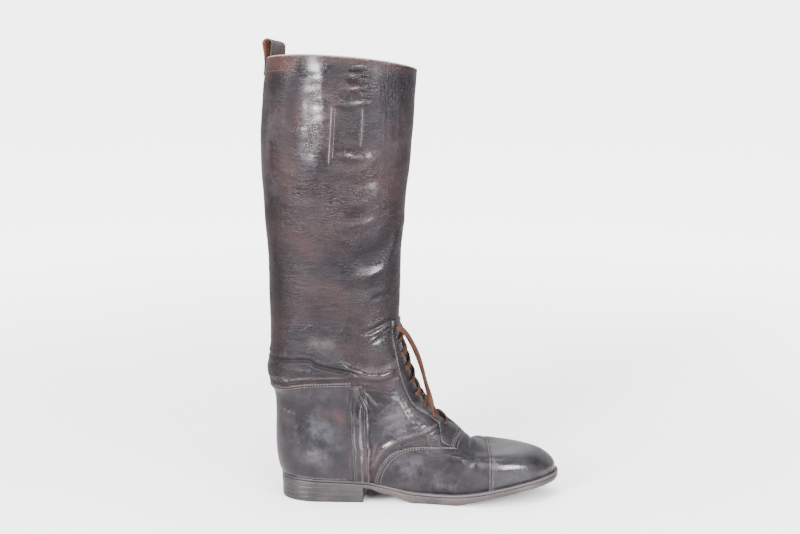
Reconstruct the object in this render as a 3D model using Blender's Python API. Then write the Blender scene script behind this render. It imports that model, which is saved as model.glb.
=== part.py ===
"""Officer boot for the right foot: a tall laced leather boot on a leather sole with a stacked heel.

The boot stands on the plane z = 0 with its origin at the middle of the heel's floor face. +X points to
the toe, +Y to the inner (medial) side, -Y to the outer (lateral) side and +Z up. Sizes in the tables are
in millimetres, with heights over a datum plane inside the heel's lowest layer. They become metres over the
floor where a mesh is made.

The leather follows one function of two parameters, last_point: an angle that runs round the boot from
the back (0) over the lateral side to the front (pi) and home over the medial side, and a rise that goes
from the feather line, where upper and sole meet (0), to the collar (1).
"""
import math
from collections import namedtuple

import bpy
import numpy as np

MM = 0.001

# Driving sizes in millimetres
FLOOR = -2.5              # height of the floor in the tables, which count from the datum plane
WALL = 2.2                # leather of the upper, lining included
GAP = 0.3                 # clearance between neighbouring pieces
SEAT_GAP = 0.5            # clearance between the upper's edge and the welt, whose facets differ
WELT = 2.8                # thickness of the welt
INSOLE = 3.5              # thickness of the insole board
INSOLE_CLEAR = 0.7        # between its edge and the wall
BREAST_X = 45.0           # front face of the heel
TOP_PIECE = 5.8           # floor layer of the heel
LIFT = 5.3                # next layer of the heel
TOE_SWING = 8.0           # how far the toe turns to the medial side
SWING_START = 0.35        # share of the length at which that turn begins
COLLAR_TILT = 0.19        # rise of the collar per millimetre towards the lateral side
COLLAR_CROWN = 9.0        # how much fuller than a straight line the collar runs from back to front
SAG_END = 0.45            # rise at which the curve of the feather line has faded out
SAG_POWER = 1.6           # how fast it fades
COLLAR_START = 0.82       # rise at which the tilt of the collar begins

# Mesh fineness
COLUMNS = 32
SOLE_COLUMNS = 48
HEEL_POINTS = 27
DOUBLED_ROWS = (2, 3, 7, 8, 9, 10, 11)  # sections with a second row after them: toe, instep and ankle fold
LEVEL_EDGE = 0.03         # rise over which the wall's normals turn level at the feather line and collar
SHARP_ANGLE = 38.0        # degrees between faces that leave an edge sharp

# Places of the heel, waist and ball along each section, as shares of its length
HEEL_AT, WAIST_AT, BALL_AT = 0.18, 0.48, 0.76

# Each section of the last is a loop through a point of the back line and a point of the front line.
# The rounds are the lengths over which its back and its front close, and the rest are half widths.
Section = namedtuple("Section", (
    "back_x back_z front_x front_z back_round front_round "
    "lateral_heel lateral_waist lateral_ball medial_heel medial_waist medial_ball"))
SECTIONS = (
    Section(-43.5, 25.2, 251.0, 26.3, 40, 84, 29.0, 29.0, 42.0, 29.0, 24.0, 42.0),    # feather line
    Section(-46.6, 34.0, 250.0, 33.5, 42, 84, 31.5, 31.0, 44.5, 31.5, 26.5, 44.5),    # toe wall
    Section(-48.6, 46.0, 245.0, 40.8, 43, 80, 32.5, 32.5, 44.5, 32.5, 28.5, 44.0),    # toe shoulder
    Section(-49.2, 57.0, 234.5, 47.5, 44, 74, 33.0, 33.5, 43.0, 33.0, 30.5, 42.0),    # toe crown
    Section(-49.4, 67.0, 215.0, 50.9, 44, 64, 33.0, 34.0, 40.5, 33.0, 32.0, 39.5),    # cap top
    Section(-49.2, 77.0, 187.0, 51.5, 44, 56, 33.0, 34.5, 37.0, 33.0, 33.0, 36.0),    # cap seam
    Section(-48.9, 86.0, 162.0, 60.0, 44, 50, 33.0, 34.5, 34.0, 33.0, 33.5, 33.0),    # vamp
    Section(-48.7, 96.0, 142.0, 77.5, 44, 44, 33.5, 34.5, 31.5, 33.5, 34.0, 31.0),    # throat base
    Section(-49.0, 107.0, 121.5, 91.5, 44, 42, 34.5, 35.0, 30.5, 34.5, 34.5, 30.0),   # low instep
    Section(-51.0, 117.5, 105.0, 113.0, 45, 44, 35.0, 35.5, 31.5, 35.0, 35.0, 31.0),  # counter top
    Section(-58.5, 129.0, 95.0, 138.0, 50, 48, 36.5, 37.0, 33.0, 36.5, 36.5, 33.0),   # ankle fold
    Section(-59.4, 142.0, 87.0, 163.0, 52, 50, 37.0, 38.0, 34.5, 37.0, 37.5, 34.5),   # fold top
    Section(-55.2, 164.0, 82.5, 190.0, 54, 54, 37.0, 38.5, 36.0, 37.0, 38.5, 36.0),   # throat top
    Section(-55.0, 205.0, 83.8, 218.0, 56, 56, 38.5, 39.5, 37.5, 38.5, 39.5, 37.5),   # ankle
    Section(-56.2, 265.0, 85.2, 262.0, 60, 60, 42.0, 42.5, 40.5, 42.0, 42.5, 40.5),   # low shaft
    Section(-60.4, 321.0, 88.5, 310.0, 65, 64, 46.0, 46.5, 44.5, 46.0, 46.5, 44.5),   # middle shaft
    Section(-62.3, 378.0, 95.0, 370.0, 68, 68, 48.5, 49.0, 47.0, 48.5, 49.0, 47.0),   # calf
    Section(-59.3, 428.0, 99.3, 424.0, 68, 68, 49.0, 49.5, 47.5, 49.0, 49.5, 47.5),   # upper shaft
    Section(-54.8, 470.0, 101.3, 459.5, 66, 66, 48.5, 49.0, 47.0, 48.5, 49.0, 47.0),  # collar
)

# Side profile of the sole: the feather line on top of the welt, the floor side of the outsole, and how
# far the sole reaches past the upper
SolePoint = namedtuple("SolePoint", "x feather floor_side reach")
SOLE_PROFILE = (
    SolePoint(-48.0, 25.3, 14.2, 1.6),
    SolePoint(0.0, 23.6, 14.2, 1.6),
    SolePoint(48.0, 21.6, 14.2, 1.6),
    SolePoint(62.0, 19.0, 9.0, 1.8),
    SolePoint(76.0, 15.8, 5.6, 2.2),
    SolePoint(90.0, 12.4, 0.2, 3.2),
    SolePoint(101.0, 10.6, FLOOR, 4.0),
    SolePoint(122.0, 9.6, FLOOR, 4.8),
    SolePoint(142.0, 10.0, FLOOR, 5.0),
    SolePoint(160.0, 12.2, 1.4, 5.0),
    SolePoint(181.0, 15.8, 5.8, 5.0),
    SolePoint(213.0, 21.0, 11.3, 5.0),
    SolePoint(258.0, 27.2, 17.6, 5.0),
)

# Rounded edges of the sole's layers: (inset, height) steps of the outsole's floor edge, (outset, share of
# the thickness) steps of the welt's edge, the welt's inner edge, (inset, height) of a heel layer's foot, and
# the reach of each heel layer at its foot and top, floor layer first
OUTSOLE_EDGE = ((1.8, 0.0), (0.3, 1.4), (0.0, 3.0))
WELT_EDGE = ((-0.6, 0.0), (0.2, 0.5), (-0.4, 1.0))
WELT_INNER = 0.2 - WALL
HEEL_EDGE = (0.5, 0.8)
HEEL_REACHES = ((0.5, 0.9), (0.6, 1.0), (0.8, 1.2))

# Outlines of the leather panels from the side, as (x, z) corners that an eased line joins
PANEL_FOOT = 8.0          # height below the feather line at which they may end
WING_EDGE = ((56.0, PANEL_FOOT), (57.0, 22.0), (62.0, 38.0), (72.0, 51.5), (86.0, 59.5), (106.0, 62.5),
             (128.0, 61.5))
STAY_FRONT = ((139.0, 59.5), (140.8, 66.0), (147.0, 73.5), (152.0, 110.0))
STAY_REAR = ((128.0, 66.0), (127.0, 80.0), (117.0, 90.0), (97.0, 106.0), (85.0, 133.0), (78.5, 160.0),
             (74.5, 184.0), (76.0, 197.0))
COUNTER_TOP = ((-80.0, 121.0), (-40.0, 127.0), (-12.0, 132.0), (28.0, 133.5))
STRAP_REAR = ((32.0, PANEL_FOOT), (31.5, 30.0), (29.0, 80.0), (28.4, 129.0))
STRAP_FRONT = ((54.0, PANEL_FOOT), (53.5, 30.0), (52.5, 100.0), (45.0, 129.0))
CAP_SEAM_X = 178.0        # where the toe cap begins on the ridge
CAP_SKEW = -0.04          # how its seam runs forward per millimetre to the lateral side
FAR = 320.0               # a place outside the boot
PANEL = 1.3               # thickness of the vamp, counter and eyestay
CAP_PANEL = 1.8           # thickness of the toe cap and side straps

# Throat and lacing
THROAT_BASE, THROAT_TOP = 0.385, 0.675
THROAT_HALF = 6.5
THROAT_STATIONS = 12
THROAT_CUT = 16.0                # how far its guide reaches to both sides of the wall
THROAT_ENDS = (0.2, 0.3)         # shares of its width left at the base and at the top, before the root
THROAT_ROUNDING = 5.0            # how fast it widens from them
HOLES_A_SIDE = 9
HOLE_RISE = (0.664, 0.402)       # rise of the top and of the lowest lace hole
HOLE_FROM_RIDGE = 13.5           # along Y
HALVINGS = 30                    # steps of the search for that place
HOLE_RADIUS = 2.4
HOLE_SIDES = 6
HOLE_PAST = (1.6, 3.0)           # how far its pin reaches past the wall inside and the eyestay outside
LACE_WIDTH, LACE_THICK = 4.6, 1.8
LACE_CLEAR = 0.5
BAR_STATIONS = 7
TONGUE = 1.8
TONGUE_FRONT = ((158.0, 53.0), (135.0, 63.0), (108.0, 84.0), (88.0, 112.0), (70.0, 160.0), (62.0, 215.0))

# Free lace end: hand-placed points of its route, out of the top lateral hole and down before the instep
LACE_END_ROUTE = (
    (78.6, -13.5, 187.9), (83.6, -16.2, 188.0), (89.6, -16.6, 183.8), (95.8, -13.8, 173.4),
    (101.8, -11.4, 160.4), (106.0, -10.6, 148.4), (109.4, -11.0, 136.4), (112.4, -12.8, 125.4),
    (115.6, -15.6, 115.0), (118.8, -19.4, 104.0), (121.4, -23.4, 92.4))
LACE_END_RADIUS = 1.7
LACE_END_POINTS = 19
LACE_END_ROUNDING = 1            # steps in a quarter of its tube

# Pull loop over the back of the collar
LOOP_TURN = 3.0 * math.pi / COLUMNS    # angle of its middle, to the medial side of straight behind
LOOP_SPREAD = 2.0 * LOOP_TURN           # angle that its width takes up
LOOP_COLUMNS = 4
LOOP_THICK = 2.0
LOOP_BEND = 3.8                  # inner radius of its crown
LOOP_RISE = 22.5                 # of its crown over the collar
LOOP_OUTER_LEG, LOOP_INNER_LEG = 16.0, 26.0
LOOP_FREE_AT = 6.4               # below the collar, where its legs leave the wall
LOOP_ARC_STEPS = 6
SHAFT_RISE = 740.0               # millimetres of wall per unit of rise at the collar

Finish = namedtuple("Finish", "colour roughness")
LEATHER = Finish((0.075, 0.058, 0.055), 0.38)
LEG_LEATHER = Finish((0.085, 0.064, 0.060), 0.42)
CAP_LEATHER = Finish((0.065, 0.056, 0.058), 0.30)
WELT_LEATHER = Finish((0.18, 0.14, 0.12), 0.55)
SOLE_LEATHER = Finish((0.16, 0.11, 0.09), 0.60)
LINING = Finish((0.42, 0.22, 0.11), 0.70)
LACE_LEATHER = Finish((0.26, 0.13, 0.09), 0.60)


def eased(share):
    """Smooth step from 0 to 1 with level ends."""
    share = np.clip(share, 0.0, 1.0)
    return share * share * (3.0 - 2.0 * share)


def smooth_through(knots, values, at):
    """Cubic curve through values at knots whose slopes never overshoot them."""
    knots = np.asarray(knots, dtype=float)
    values = np.asarray(values, dtype=float)
    steps = np.diff(knots)
    grades = np.diff(values) / steps
    product = grades[:-1] * grades[1:]
    total = np.where(product > 0.0, grades[:-1] + grades[1:], 1.0)
    inner = np.where(product > 0.0, 2.0 * product / total, 0.0)
    slopes = np.concatenate((grades[:1], inner, grades[-1:]))
    at = np.clip(at, knots[0], knots[-1])
    index = np.clip(np.searchsorted(knots, at, side="right") - 1, 0, len(steps) - 1)
    step = steps[index]
    share = (at - knots[index]) / step
    left = (1.0 + 2.0 * share) * (1.0 - share) ** 2 * values[index]
    right = share ** 2 * (3.0 - 2.0 * share) * values[index + 1]
    turn = share * (1.0 - share) * ((1.0 - share) * slopes[index] - share * slopes[index + 1])
    return left + right + step * turn


SECTION_RISES = np.linspace(0.0, 1.0, len(SECTIONS))


def section_at(rise):
    """Section of the last at a rise, each column eased between the table's rows."""
    rise = np.asarray(rise, dtype=float)
    return Section(*(smooth_through(SECTION_RISES, column, rise) for column in zip(*SECTIONS)))


def sole_at(x):
    """Feather height, floor side and reach of the sole at x."""
    columns = list(zip(*SOLE_PROFILE))
    return SolePoint(x, *(smooth_through(columns[0], column, x) for column in columns[1:]))


def last_point(angle, rise):
    """Outer surface of the upper in millimetres."""
    angle, rise = np.broadcast_arrays(np.asarray(angle, dtype=float), np.asarray(rise, dtype=float))
    row = section_at(rise)
    along = 0.5 * (1.0 - np.cos(angle))
    x = row.back_x + along * (row.front_x - row.back_x)
    z = row.back_z + along * (row.front_z - row.back_z)
    length = np.hypot(row.front_x - row.back_x, row.front_z - row.back_z)
    from_back = np.clip(along * length / row.back_round, 0.0, 1.0)
    from_front = np.clip((1.0 - along) * length / row.front_round, 0.0, 1.0)
    closing = np.sqrt((1.0 - (1.0 - from_back) ** 2) * (1.0 - (1.0 - from_front) ** 2))
    to_waist = eased((along - HEEL_AT) / (WAIST_AT - HEEL_AT))
    to_ball = eased((along - WAIST_AT) / (BALL_AT - WAIST_AT))
    at_heel, at_waist = 1.0 - to_waist, to_waist - to_ball
    lateral = row.lateral_heel * at_heel + row.lateral_waist * at_waist + row.lateral_ball * to_ball
    medial = row.medial_heel * at_heel + row.medial_waist * at_waist + row.medial_ball * to_ball
    sag = np.clip(1.0 - rise / SAG_END, 0.0, 1.0)
    swing = TOE_SWING * sag * eased((along - SWING_START) / (1.0 - SWING_START))
    y = swing + closing * np.where(np.sin(angle) >= 0.0, -lateral, medial)
    feather = SECTIONS[0]
    chord = feather.back_z + (x - feather.back_x) / (feather.front_x - feather.back_x) * (
        feather.front_z - feather.back_z)
    z = z + sag ** SAG_POWER * (sole_at(x).feather - chord)
    collar = eased((rise - COLLAR_START) / (1.0 - COLLAR_START))
    z = z + collar * (COLLAR_CROWN * along * (1.0 - along) - COLLAR_TILT * y)
    return np.stack((x, y, z), axis=-1)


def outward(angle, rise):
    """Unit normal of the last, level at the feather line and at the collar."""
    angle, rise = np.broadcast_arrays(np.asarray(angle, dtype=float), np.asarray(rise, dtype=float))
    step = 1e-4
    round_way = last_point(angle + step, rise) - last_point(angle - step, rise)
    above, below = np.minimum(rise + step, 1.0), np.maximum(rise - step, 0.0)
    normal = np.cross(round_way, last_point(angle, above) - last_point(angle, below))
    level = eased(rise / LEVEL_EDGE) * eased((1.0 - rise) / LEVEL_EDGE)
    normal[..., 2] *= level
    return normal / np.linalg.norm(normal, axis=-1, keepdims=True)


def skin_point(angle, rise, offset):
    """Point at an offset from the outer surface of the upper."""
    return last_point(angle, rise) + offset * outward(angle, rise)


def shell_rises():
    """Rises of the rows of a shell: one for each section and one more after each doubled section."""
    halves = [0.5 * (SECTION_RISES[row] + SECTION_RISES[row + 1]) for row in DOUBLED_ROWS]
    return np.sort(np.concatenate((SECTION_RISES, halves)))


def split_quad(corners):
    """Two triangles of a quad, along the diagonal from its first corner."""
    a, b, c, d = corners
    return [(a, b, c), (a, c, d)]


def tube_faces(loops, size, closed=True):
    """Triangles between successive loops of points, each of the same size."""
    faces = []
    for loop in range(loops - 1):
        for place in range(size if closed else size - 1):
            after = (place + 1) % size
            low, high = loop * size, (loop + 1) * size
            faces += split_quad((low + place, low + after, high + after, high + place))
    return faces


def facing_lid(size, first, downward):
    """Triangles across a loop whose points stand opposite each other, lateral to medial."""
    faces = []
    for place in range(size // 2):
        corners = (place, place + 1, size - place - 1, (size - place) % size)
        corners = [first + corner for corner in dict.fromkeys(corners)]
        if downward:
            corners.reverse()
        faces += [tuple(corners)] if len(corners) == 3 else split_quad(corners)
    return faces


def over_floor(points):
    """Points of the tables as metres over the floor."""
    return (np.asarray(points) - np.array((0.0, 0.0, FLOOR))) * MM


def add_object(name, points, faces, finish, parent):
    """Make a named object from points of the tables, with its own material."""
    mesh = bpy.data.meshes.new(name)
    mesh.from_pydata([tuple(point) for point in over_floor(points)], [], faces)
    mesh.update()
    mesh.shade_smooth()
    mesh.set_sharp_from_angle(angle=math.radians(SHARP_ANGLE))
    thing = bpy.data.objects.new(name, mesh)
    bpy.context.scene.collection.objects.link(thing)
    thing.parent = parent
    if finish is None:
        thing.hide_render = True
        thing.display_type = "WIRE"
        return thing
    material = bpy.data.materials.new(name)
    material.use_nodes = True
    shader = material.node_tree.nodes["Principled BSDF"]
    shader.inputs["Base Color"].default_value = (*finish.colour, 1.0)
    shader.inputs["Roughness"].default_value = finish.roughness
    shader.inputs["Metallic"].default_value = 0.0
    mesh.materials.append(material)
    return thing


def boolean(thing, cutter, operation):
    """Cut an object with a guide, or keep only what lies inside the guide."""
    change = thing.modifiers.new(cutter.name, "BOOLEAN")
    change.operation = operation
    change.object = cutter


def add_shell(name, inner, outer, finish, parent):
    """Leather between two offsets of the last, open at the collar and underneath."""
    angles = np.arange(COLUMNS) * 2.0 * math.pi / COLUMNS
    rises = shell_rises()[:, None]
    outside = skin_point(angles, rises, outer).reshape(-1, 3)
    inside = skin_point(angles, rises, inner).reshape(-1, 3)
    size = len(outside)
    faces = tube_faces(len(rises), COLUMNS)
    faces += [tuple(size + corner for corner in reversed(face)) for face in faces]
    top = size - COLUMNS
    for place in range(COLUMNS):
        after = (place + 1) % COLUMNS
        faces += split_quad((place, size + place, size + after, after))
        faces += split_quad((top + place, top + after, size + top + after, size + top + place))
    return add_object(name, np.concatenate((outside, inside)), faces, finish, parent)


def curve_points(corners, steps=2):
    """Points of an eased line through (x, z) corners, with so many steps between them."""
    corners = np.asarray(corners, dtype=float)
    knots = np.arange(len(corners))
    at = np.linspace(0.0, len(corners) - 1.0, (len(corners) - 1) * steps + 1)
    columns = [smooth_through(knots, column, at) for column in corners.T]
    return list(zip(*columns))


def add_prism(name, outline, y_from, y_to, parent, skew=0.0):
    """Guide with an (x, z) outline, drawn through along Y and leaning by skew."""
    outline = np.asarray(outline, dtype=float)
    following = np.roll(outline, -1, axis=0)
    area = np.sum(outline[:, 0] * following[:, 1] - following[:, 0] * outline[:, 1])
    if area < 0.0:
        outline = outline[::-1]
    size = len(outline)
    ends = []
    for y in (y_from, y_to):
        ends.append(np.column_stack((outline[:, 0] + skew * y, np.full(size, y), outline[:, 1])))
    faces = [tuple(range(size)), tuple(reversed(range(size, 2 * size)))]
    for place in range(size):
        after = (place + 1) % size
        faces.append((place, size + place, size + after, after))
    return add_object(name, np.concatenate(ends), faces, None, parent)


def add_panel(name, thick, outline, finish, parent, sides=(-FAR, FAR), skew=0.0):
    """Leather panel on the upper, cut to a side outline from a shell of the same last."""
    panel = add_shell(name, GAP, GAP + thick, finish, parent)
    boolean(panel, add_prism(name + ".guide", outline, *sides, parent, skew), "INTERSECT")
    return panel


def sole_loop(angles, reach):
    """Plan of the feather line at these angles, moved outward by reach."""
    edge = last_point(angles, 0.0)
    return (edge + np.asarray(reach)[..., None] * outward(angles, 0.0))[..., :2]


def add_layer(name, plans, heights, finish, parent, closed_angles=True):
    """Layer of the sole through loops of one size, each with its plan and its heights."""
    loops = [np.column_stack((plan, height)) for plan, height in zip(plans, heights)]
    size = len(loops[0])
    faces = tube_faces(len(loops), size)
    if closed_angles:
        faces += facing_lid(size, 0, downward=True)
        faces += facing_lid(size, (len(loops) - 1) * size, downward=False)
    else:
        faces += open_lid(size, 0, downward=True)
        faces += open_lid(size, (len(loops) - 1) * size, downward=False)
    return add_object(name, np.concatenate(loops), faces, finish, parent)


def open_lid(size, first, downward):
    """Triangles across a heel outline, whose first and last points are the corners of its breast."""
    faces = []
    for place in range(size // 2):
        corners = [first + place, first + place + 1, first + size - place - 2, first + size - place - 1]
        corners = list(dict.fromkeys(corners))
        if len(corners) < 3:
            continue
        if downward:
            corners.reverse()
        faces += [tuple(corners)] if len(corners) == 3 else split_quad(corners)
    return faces


def add_outsole(parent):
    """Outsole with arch and toe spring, its floor edge rounded off in two steps."""
    angles = np.arange(SOLE_COLUMNS) * 2.0 * math.pi / SOLE_COLUMNS
    reach = sole_at(last_point(angles, 0.0)[:, 0]).reach
    plans, heights = [], []
    for inset, up in OUTSOLE_EDGE:
        plan = sole_loop(angles, reach - inset)
        plans.append(plan)
        heights.append(sole_at(plan[:, 0]).floor_side + up)
    plans.append(plans[-1])
    heights.append(sole_at(plans[-1][:, 0]).feather - SEAT_GAP - WELT - GAP)
    return add_layer("outsole", plans, heights, SOLE_LEATHER, parent)


def add_welt(parent):
    """Welt round the whole boot, standing on the outsole and carrying the upper."""
    angles = np.arange(SOLE_COLUMNS) * 2.0 * math.pi / SOLE_COLUMNS
    reach = sole_at(last_point(angles, 0.0)[:, 0]).reach
    inner = np.full(SOLE_COLUMNS, WELT_INNER)
    steps = [(inner, 0.0)] + [(reach + outset, share) for outset, share in WELT_EDGE] + [(inner, 1.0)]
    loops = []
    for outset, share in steps:
        plan = sole_loop(angles, outset)
        base = sole_at(plan[:, 0]).feather - SEAT_GAP - WELT
        loops.append(np.column_stack((plan, base + share * WELT)))
    points = np.concatenate(loops)
    faces = tube_faces(len(loops), SOLE_COLUMNS)
    last = (len(loops) - 1) * SOLE_COLUMNS
    for place in range(SOLE_COLUMNS):
        after = (place + 1) % SOLE_COLUMNS
        faces += split_quad((last + place, last + after, after, place))
    return add_object("welt", points, faces, WELT_LEATHER, parent)


def add_insole(parent):
    """Board inside the foot, resting on the outsole within the welt, with the columns of the wall."""
    angles = np.arange(COLUMNS) * 2.0 * math.pi / COLUMNS
    plan = sole_loop(angles, np.full(COLUMNS, -WALL - INSOLE_CLEAR))
    base = sole_at(plan[:, 0]).feather - WELT - SEAT_GAP + GAP
    return add_layer("insole", (plan, plan), (base, base + INSOLE), LINING, parent)


def add_heel(parent):
    """Three heel layers, each a little smaller than the one above it."""
    feather = SECTIONS[0]
    share = (BREAST_X - feather.back_x) / (feather.front_x - feather.back_x)
    half_turn = math.acos(1.0 - 2.0 * share)
    angles = np.linspace(-half_turn, half_turn, HEEL_POINTS)
    names = ("heel_top_piece", "heel_lift_lower", "heel_lift_upper")
    seams = (FLOOR + TOP_PIECE, FLOOR + TOP_PIECE + LIFT)
    lows = (FLOOR, seams[0] + GAP, seams[1] + GAP)
    highs = (*seams, SOLE_PROFILE[0].floor_side - GAP)
    inset, up = HEEL_EDGE
    for name, low, high, (low_reach, high_reach) in zip(names, lows, highs, HEEL_REACHES):
        plans, heights = [], []
        for reach, height in ((low_reach - inset, low), (low_reach, low + up), (high_reach, high)):
            plan = sole_loop(angles, np.full(len(angles), reach))
            plan[:, 0] = np.minimum(plan[:, 0], BREAST_X)
            plans.append(plan)
            heights.append(np.full(len(angles), height))
        add_layer(name, plans, heights, SOLE_LEATHER, parent, closed_angles=False)


def add_throat_guide(parent):
    """Guide that opens the throat: a slot that follows the ridge of the instep."""
    rises = np.linspace(THROAT_BASE, THROAT_TOP, THROAT_STATIONS)
    ridge = last_point(math.pi, rises)
    normal = outward(math.pi, rises)
    share = np.linspace(0.0, THROAT_ROUNDING, THROAT_STATIONS)
    from_base, from_top = THROAT_ENDS[0] + share, THROAT_ENDS[1] + share[::-1]
    half = THROAT_HALF * np.sqrt(np.minimum(np.minimum(from_base, from_top), 1.0))
    loops = []
    for place, way, reach in zip(ridge, normal * THROAT_CUT, half):
        for side, out in ((1, -1), (-1, -1), (-1, 1), (1, 1)):
            loops.append(place + out * way + np.array((0.0, side * reach, 0.0)))
    faces = tube_faces(THROAT_STATIONS, 4)
    last = 4 * (THROAT_STATIONS - 1)
    faces += [(3, 2, 1, 0), (last, last + 1, last + 2, last + 3)]
    return add_object("throat.guide", np.array(loops), faces, None, parent)


def hole_frames(side):
    """Places of the lace holes on one side: angle and rise of each, top hole first."""
    rises = np.linspace(*HOLE_RISE, HOLES_A_SIDE)
    ridge = last_point(math.pi, rises)[:, 1]
    near, far = np.full(HOLES_A_SIDE, 0.5 * math.pi), np.full(HOLES_A_SIDE, math.pi)
    for _ in range(HALVINGS):
        middle = 0.5 * (near + far)
        outside = np.abs(last_point(middle, rises)[:, 1] - ridge) > HOLE_FROM_RIDGE
        near, far = np.where(outside, middle, near), np.where(outside, far, middle)
    angles = near if side < 0 else 2.0 * math.pi - near
    return list(zip(angles, rises))


def add_hole_guide(parent):
    """Guide that punches every lace hole, as short pins along the surface normal."""
    points, faces = [], []
    for side in (-1, 1):
        for angle, rise in hole_frames(side):
            centre = skin_point(angle, rise, 0.0)
            normal = outward(angle, rise)
            across = np.cross(normal, (0.0, 1.0, 0.0))
            across /= np.linalg.norm(across)
            upward = np.cross(normal, across)
            first = len(points)
            for depth in (-WALL - HOLE_PAST[0], PANEL + HOLE_PAST[1]):
                for corner in range(HOLE_SIDES):
                    turn = 2.0 * math.pi * corner / HOLE_SIDES
                    spread = math.cos(turn) * across + math.sin(turn) * upward
                    points.append(centre + depth * normal + HOLE_RADIUS * spread)
            ring = tube_faces(2, HOLE_SIDES)
            faces += [tuple(first + corner for corner in face) for face in ring]
            faces.append(tuple(first + corner for corner in reversed(range(HOLE_SIDES))))
            faces.append(tuple(first + HOLE_SIDES + corner for corner in range(HOLE_SIDES)))
    return add_object("holes.guide", np.array(points), faces, None, parent)


def ribbon(path, across, width, normals, thick):
    """Points and faces of a flat strap along a path, between path and path + thick * normal."""
    points = []
    for place, middle in enumerate(path):
        side = across[place] * 0.5 * width
        up = normals[place] * thick
        points += [middle - side, middle + side, middle + side + up, middle - side + up]
    faces = tube_faces(len(path), 4)
    last = 4 * (len(path) - 1)
    faces += [(3, 2, 1, 0), (last, last + 1, last + 2, last + 3)]
    return np.array(points), faces


def unit(vector):
    """Vectors scaled to length 1."""
    return vector / np.linalg.norm(vector, axis=-1, keepdims=True)


def add_lace_bars(parent):
    """Bars of flat lace across the throat, each from a lateral hole up to the next medial one."""
    height = GAP + PANEL + LACE_CLEAR
    for number, (left, right) in enumerate(zip(hole_frames(-1)[1:], hole_frames(1)), start=2):
        angles = np.linspace(left[0], right[0], BAR_STATIONS)
        rises = np.linspace(left[1], right[1], BAR_STATIONS)
        path = skin_point(angles, rises, height)
        normals = outward(angles, rises)
        along = unit(np.gradient(path, axis=0))
        across = unit(np.cross(normals, along))
        points, faces = ribbon(path, across, LACE_WIDTH, normals, LACE_THICK)
        add_object(f"lace_bar_{number}", points, faces, LACE_LEATHER, parent)


def add_lace_end(parent):
    """Free lace end, a tube through the route's own points."""
    route = np.asarray(LACE_END_ROUTE)
    at = np.linspace(0.0, len(route) - 1.0, LACE_END_POINTS)
    points = np.stack([smooth_through(np.arange(len(route)), column, at) for column in route.T], axis=-1)
    curve = bpy.data.curves.new("lace_end", "CURVE")
    curve.dimensions = "3D"
    curve.bevel_depth = LACE_END_RADIUS * MM
    curve.bevel_resolution = LACE_END_ROUNDING
    curve.use_fill_caps = True
    spline = curve.splines.new("POLY")
    spline.points.add(len(points) - 1)
    for spot, point in zip(spline.points, over_floor(points)):
        spot.co = (*point, 1.0)
    thing = bpy.data.objects.new("lace_end", curve)
    bpy.context.scene.collection.objects.link(thing)
    thing.parent = parent
    material = bpy.data.materials.new("lace_end")
    material.use_nodes = True
    shader = material.node_tree.nodes["Principled BSDF"]
    shader.inputs["Base Color"].default_value = (*LACE_LEATHER.colour, 1.0)
    shader.inputs["Roughness"].default_value = LACE_LEATHER.roughness
    curve.materials.append(material)


def loop_profile():
    """Path of the pull loop as (out, up) from the collar's edge, with its normals, outer leg first."""
    middle = -0.5 * WALL
    crown = LOOP_RISE - LOOP_THICK - LOOP_BEND
    inside = -WALL - 2.0 * GAP
    places = [(GAP, -LOOP_OUTER_LEG), (GAP, -LOOP_FREE_AT)]
    places += [(middle + LOOP_BEND * math.cos(turn), crown + LOOP_BEND * math.sin(turn))
               for turn in np.linspace(0.0, math.pi, LOOP_ARC_STEPS + 1)]
    places = np.array(places + [(inside, -LOOP_FREE_AT), (inside, -LOOP_INNER_LEG)])
    along = unit(np.gradient(places, axis=0))
    along[0], along[-1] = (0.0, 1.0), (0.0, -1.0)
    return places, np.column_stack((along[:, 1], -along[:, 0]))


def collar_point(angle, out, up):
    """Point out from the wall at the collar and up from its edge, following the wall below the edge."""
    depth = np.maximum(-up, 0.0)
    point = skin_point(angle, 1.0 - depth / SHAFT_RISE, out)
    point[..., 2] += np.maximum(up, 0.0)
    return point


def add_pull_loop(parent):
    """Leather loop that stands over the back of the collar, one leg outside it and one inside."""
    angles = 2.0 * math.pi - LOOP_TURN + np.linspace(0.5, -0.5, LOOP_COLUMNS) * LOOP_SPREAD
    places, normals = loop_profile()
    loops = []
    for inner, outer in zip(places, places + LOOP_THICK * normals):
        near, far = collar_point(angles, *inner), collar_point(angles, *outer)
        loops.append(np.concatenate((near, far[::-1])))
    size = 2 * LOOP_COLUMNS
    faces = tube_faces(len(loops), size)
    last = (len(loops) - 1) * size
    faces += [tuple(reversed(range(size))), tuple(range(last, last + size))]
    return add_object("pull_loop", np.concatenate(loops), faces, LEATHER, parent)


def add_tongue(parent):
    """Tongue under the throat, cut from a shell inside the upper."""
    tongue = add_shell("tongue", -WALL - GAP - TONGUE, -WALL - GAP, LEATHER, parent)
    edge = curve_points(TONGUE_FRONT)
    outline = edge + [(FAR, TONGUE_FRONT[-1][1]), (FAR, TONGUE_FRONT[0][1])]
    boolean(tongue, add_prism("tongue.guide", outline, -FAR, FAR, parent), "INTERSECT")


def cap_outline(seam_x):
    """Side outline of all that lies in front of the toe cap's seam."""
    return [(seam_x, -FAR), (seam_x, FAR), (2.0 * FAR, FAR), (2.0 * FAR, -FAR)]


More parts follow.
